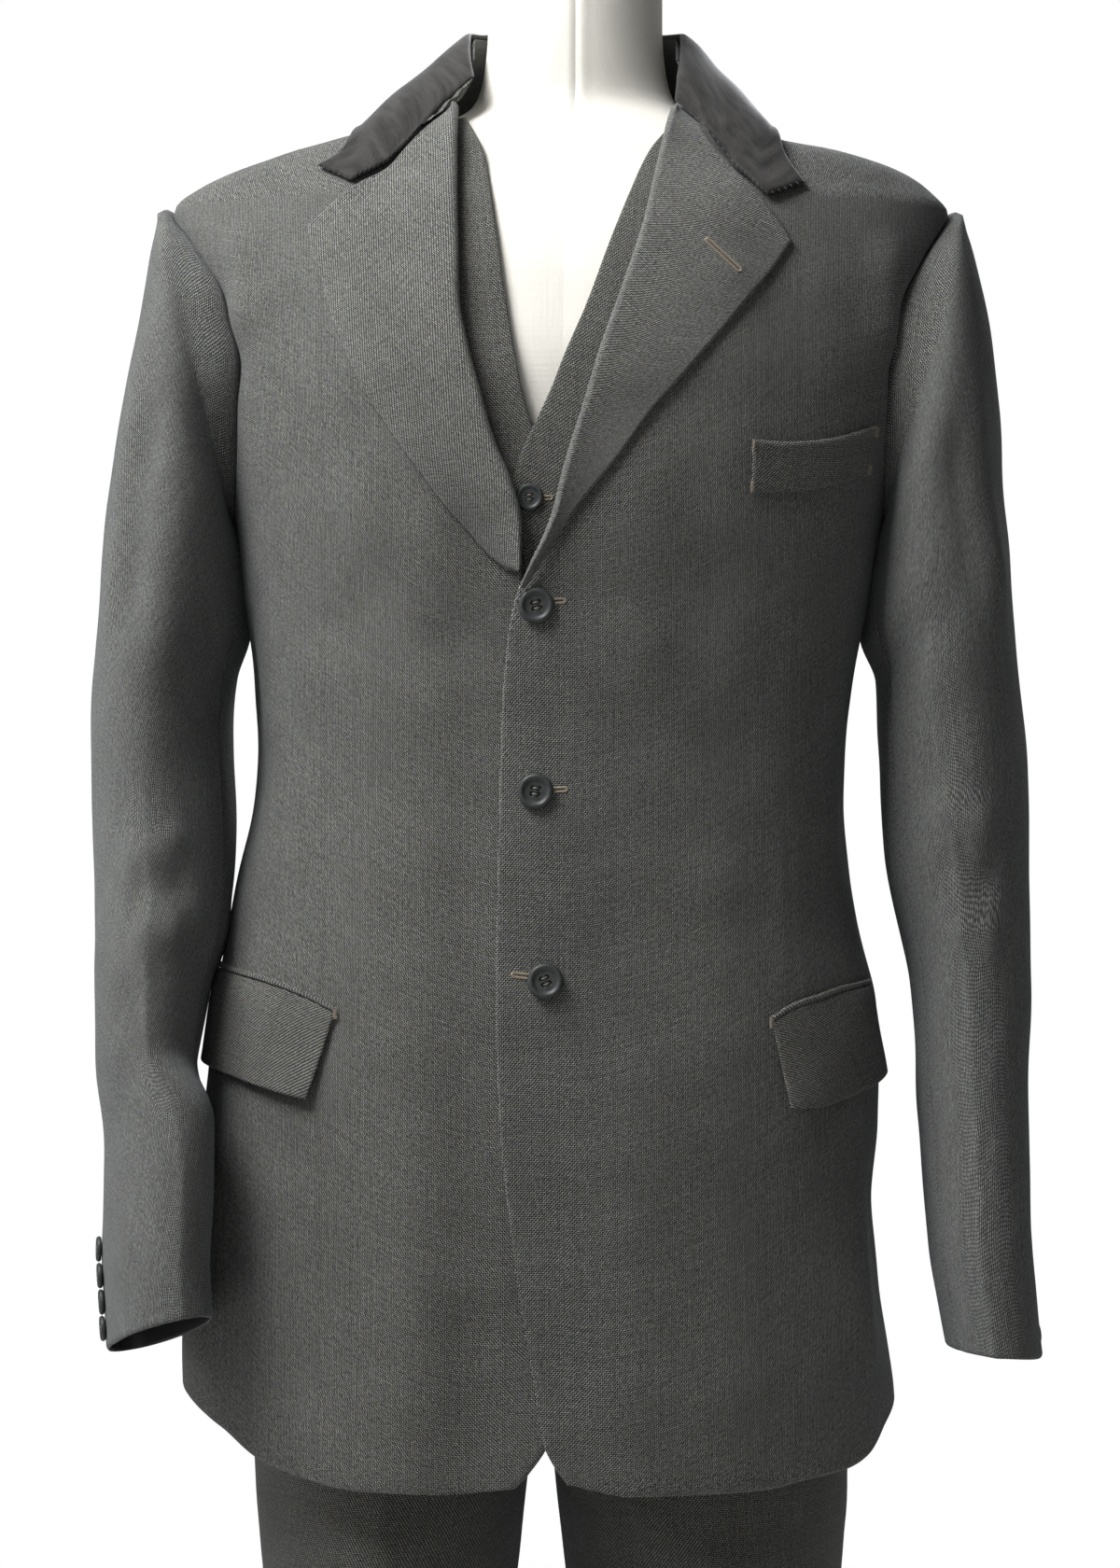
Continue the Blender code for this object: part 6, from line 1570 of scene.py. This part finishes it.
def strands(name, runs, thickness, look):
    """Short lengths of thread, each a round strand with closed ends through a few points."""
    points, faces = [], []
    for run in runs:
        run = np.asarray(run, float)
        if len(run) == 2:
            run = np.array((run[0], run[0] * 0.5 + run[1] * 0.5, run[1]))
        along = unit(np.gradient(run, axis=0))
        helper = np.array((0.0, 0.0, 1.0)) if abs(along[0][2]) < 0.8 else np.array((0.0, 1.0, 0.0))
        one = unit(np.cross(along, helper))
        two = np.cross(along, one)
        start = len(points)
        for spot, a, b in zip(run, one, two):
            for k in range(6):
                turn = k * math.pi / 3.0
                points.append(spot + (a * math.cos(turn) + b * math.sin(turn)) * thickness / 2.0)
        points.append(run[0] - along[0] * thickness * 0.35)
        points.append(run[-1] + along[-1] * thickness * 0.35)
        for ring in range(len(run) - 1):
            for k in range(6):
                after = (k + 1) % 6
                a, b = start + ring * 6, start + (ring + 1) * 6
                faces.append((a + k, a + after, b + after, b + k))
        last, low = start + 6 * (len(run) - 1), start + 6 * len(run)
        for k in range(6):
            after = (k + 1) % 6
            faces.append((start + after, start + k, low))
            faces.append((last + k, last + after, low + 1))
    build(name, [tuple(point) for point in points], faces, [look])


def flat_pair(kind, side, x, height, lift=0.0):
    """A place on the jacket's or the waistcoat's front, seen from the front at x."""
    pair = coat_pair if kind == "coat" else vest_pair
    return pair(side, turn_at_x(side, x, height), np.asarray(height, float), lift)


horn = horn_look()
grey_thread = thread_look("grey_thread", THREAD_TONE)
over_buttons = []
for number, (x, height, spin) in enumerate(COAT_BUTTON_SPOTS, 1):
    spot, facing = flat_pair("coat", 1.0, x, height, 0.0004)
    over_buttons += button(f"jacket_button_{number}", f"coat_button_{number}", spot, facing,
                           BUTTON_SIZES["coat"], spin)
for number in range(6):
    height = VEST_BUTTON_TOP - number * VEST_BUTTON_PITCH
    spot, facing = flat_pair("vest", 1.0, VEST_BUTTON_X, height, 0.0003)
    over_buttons += button(f"waistcoat_button_{number + 1}", f"vest_button_{number + 1}", spot, facing,
                           BUTTON_SIZES["vest"], 7.0 * number)
CUFF_BUTTON_SHARE = 7.5 / 9.0        # how far across the top sleeve, from its front seam
for name, side in SIDES.items():
    points, outs, shares = top_sleeves[name]
    line = np.array([at_place(CUFF_BUTTON_SHARE, shares, row) for row in points])
    ways = np.array([at_place(CUFF_BUTTON_SHARE, shares, row) for row in outs])
    for number in range(4):
        height = CUFF_BUTTON_TOP[name] - number * CUFF_BUTTON_PITCH
        spot = at_place(-height, -line[:, 2], line)
        facing = unit(at_place(-height, -line[:, 2], ways))
        over_buttons += button(f"sleeve_button_{name}_{number + 1}", f"cuff_button_{name}_{number + 1}",
                               spot + facing * 0.0004, facing, BUTTON_SIZES["cuff"], 15.0 * number)
strands("button_threads", over_buttons, 0.00042, grey_thread)


# ---- buttonholes and hand sewing ---------------------------------------------------------------
# Each buttonhole is a slit bound all round in close beige stitches. The front and lapel edges are
# held by short pick stitches, the pockets by bars of thread and the collar's ends by hand sewing.
BEIGE_TONE = (0.24, 0.20, 0.145)
HOLE_STITCH, VEST_HOLE_STITCH, HOLE_PITCH = 0.0017, 0.0014, 0.00052
BUTTONHOLES = (
    # ends of each hole as (x, height)
    ((-0.0195, 1.1975), (0.0020, 1.1985)),
    ((-0.0185, 1.0930), (0.0030, 1.0940)),
    ((-0.0255, 0.9915), (-0.0050, 0.9890)),
)
LAPEL_HOLE = ((0.0818, 1.3992), (0.0995, 1.3832))
VEST_HOLE = (-0.0205, -0.0050)
PICK_LENGTH, PICK_PITCH, PICK_INSET = 0.0017, 0.0052, 0.0016
PICKED_FROM, PICKED_TO = 0.722, {"left": 1.205, "right": 0.900}
POCKET_BARS = (
    # side, ends as (x, height), lift, stitches
    (1.0, (0.1070, 1.2885), (0.1064, 1.2830), 0.0026, 7),
    (1.0, (0.1062, 1.2650), (0.1062, 1.2600), 0.0026, 7),
    (1.0, (0.1786, 1.3005), (0.1778, 1.2955), 0.0026, 7),
    (1.0, (0.1748, 1.2790), (0.1742, 1.2742), 0.0026, 7),
    (1.0, (0.1172, 0.9665), (0.1170, 0.9608), 0.0018, 9),
    (-1.0, (-0.1252, 0.9722), (-0.1250, 0.9662), 0.0018, 9),
)
BAR_WIDTH = 0.0011
beige_thread = thread_look("beige_thread", BEIGE_TONE)
dark_thread = thread_look("dark_thread", (0.030, 0.030, 0.032))


def on_body(kind, side, x, height, lift):
    return flat_pair(kind, side, x, height, lift)[0]


def on_lapel(name, x, height, lift):
    """Places on a lapel seen from the front at x, lifted off it."""
    side = SIDES[name]
    start = curve(COAT_EDGES[name], height) + side * (LAPEL_INSET + roll_radius(name, height))
    share = (x - start) / (lapel_edge(name, height) - start)
    spots, outs = lapel_pair(name, share, height)
    return spots + outs * lift[..., None]


def put(place, runs):
    """Runs of (x, height, lift) laid on the cloth by place, all in one go."""
    runs = np.array(runs, float)
    return list(place(runs[..., 0], runs[..., 1], runs[..., 2]))


def bound_slit(place, start, end, stitch=HOLE_STITCH):
    """Runs of thread round a slit from start to end, both (x, height); place puts them on cloth."""
    start, end = np.array(start), np.array(end)
    along = (end - start) / np.linalg.norm(end - start)
    across = np.array((-along[1], along[0]))
    count = int(np.linalg.norm(end - start) / HOLE_PITCH)
    luck = np.random.default_rng(int(abs(start[0]) * 1e6) + int(start[1] * 1e4))
    runs = []
    for way in (-1.0, 1.0):
        for i in range(count + 1):
            spot = start + along * (np.linalg.norm(end - start) * i / count)
            reach = stitch * luck.uniform(0.86, 1.12)
            low, high = spot + across * way * 0.00050, spot + across * way * reach
            middle = (low + high) / 2.0 + along * luck.uniform(-0.0001, 0.0001)
            runs.append([(*low, 0.00010), (*middle, 0.00042), (*high, 0.00008)])
    for centre, outward in ((start, -along), (end, along)):
        for angle in np.radians((-64.0, -38.0, -12.0, 12.0, 38.0, 64.0)):
            ray = outward * math.cos(angle) + across * math.sin(angle)
            runs.append([(*(centre + ray * reach), rise) for reach, rise in
                         ((0.0002, 0.0001), (stitch * 0.5, 0.00042), (stitch, 0.00008))])
    return put(place, runs)


holes = [(partial(on_body, "coat", 1.0), *ends) for ends in BUTTONHOLES]
holes.append((partial(on_lapel, "left"), *LAPEL_HOLE))
hole_runs, slit_shade_runs = [], []
for place, start, end in holes:
    hole_runs += bound_slit(place, start, end)
    slit_shade_runs += put(place, [[(*(np.array(start) + share * np.subtract(end, start)), 0.0)
                          for share in np.linspace(0.0, 1.0, 9)]])
for number in range(6):
    height = VEST_BUTTON_TOP - number * VEST_BUTTON_PITCH
    hole_runs += bound_slit(partial(on_body, "vest", 1.0), (VEST_HOLE[0], height),
                            (VEST_HOLE[1], height - 0.0004), VEST_HOLE_STITCH)
strands("buttonhole_stitches", hole_runs, 0.00050, beige_thread)
# Painted shade: a dark strand laid along each buttonhole darkens the cut between its stitches.
strands("buttonhole_slit_shade", slit_shade_runs, 0.00060, dark_thread)


def picked(place, edge, low, high, inset_way):
    """Pick stitches along an edge given as x by height, set in from it."""
    runs = []
    height = low
    luck = np.random.default_rng(int(low * 1e5))
    while height < high:
        ahead = min(height + PICK_LENGTH, high)
        here, there = [np.array((float(edge(level)), level)) for level in (height, ahead)]
        along = (there - here) / max(np.linalg.norm(there - here), 1e-9)
        normal = np.array((along[1], -along[0])) * inset_way * PICK_INSET
        runs.append([(*(here + along * PICK_LENGTH * share + normal), lift)
                     for share, lift in ((0.0, -0.00012), (0.5, 0.00020), (1.0, -0.00012))])
        height += PICK_PITCH * abs(along[1]) * luck.uniform(0.92, 1.08) + 0.0004
    return put(place, runs)


pick_runs = []
for name, side in SIDES.items():
    pick_runs += picked(partial(on_body, "coat", side), partial(curve, COAT_EDGES[name]), PICKED_FROM,
                        PICKED_TO[name], side)
for name, side in SIDES.items():
    low, point, high = LAPEL_OUTLINES[name][0][0], LAPEL_POINTS[name], LAPEL_OUTLINES[name][-1][0]
    for start, end in ((low + 0.010, point - 0.003), (point + 0.003, high - 0.020)):
        pick_runs += picked(partial(on_lapel, name), partial(lapel_edge, name), start, end, -side)
strands("pick_stitches", pick_runs, 0.00036, dark_thread)


def bar(side, start, end, lift, count):
    """A bar of thread from start to end, seen from the front as (x, height): close short stitches."""
    start, end = np.array(start), np.array(end)
    along = (end - start) / np.linalg.norm(end - start)
    across = np.array((-along[1], along[0])) * BAR_WIDTH
    runs = []
    for share in np.linspace(0.0, 1.0, count):
        spot = start + (end - start) * share
        line = (spot - across, spot, spot + across)
        runs.append([(*point, lift + rise) for point, rise in zip(line, (0.0, 0.0004, 0.0))])
    return put(partial(on_body, "coat", side), runs)


bars = [run for row in POCKET_BARS for run in bar(*row)]
strands("pocket_bars", bars, 0.00045, beige_thread)

# The ends of the velvet are caught down to the lapels by slanting hand stitches.
collar_runs = []
for name, side in SIDES.items():
    for i in range(22):
        share = 0.16 + 0.82 * i / 21.0
        x, height = collar_end(name, share)
        turn = turn_at_x(side, x, height)
        base, out = coat_raw(side, turn, height), coat_normal(side, turn, height)
        step = np.array((side * 0.0006, 0.0, -0.0012) if share < 0.75 else (side * -0.0008, 0.0, 0.0011))
        start = base + out * (COLLAR_LIFT + 0.0002) - step * 1.2
        collar_runs.append([start, start + step + out * 0.0003, start + 2.0 * step - out * 0.0006])
strands("collar_stitches", collar_runs, 0.00040, dark_thread)
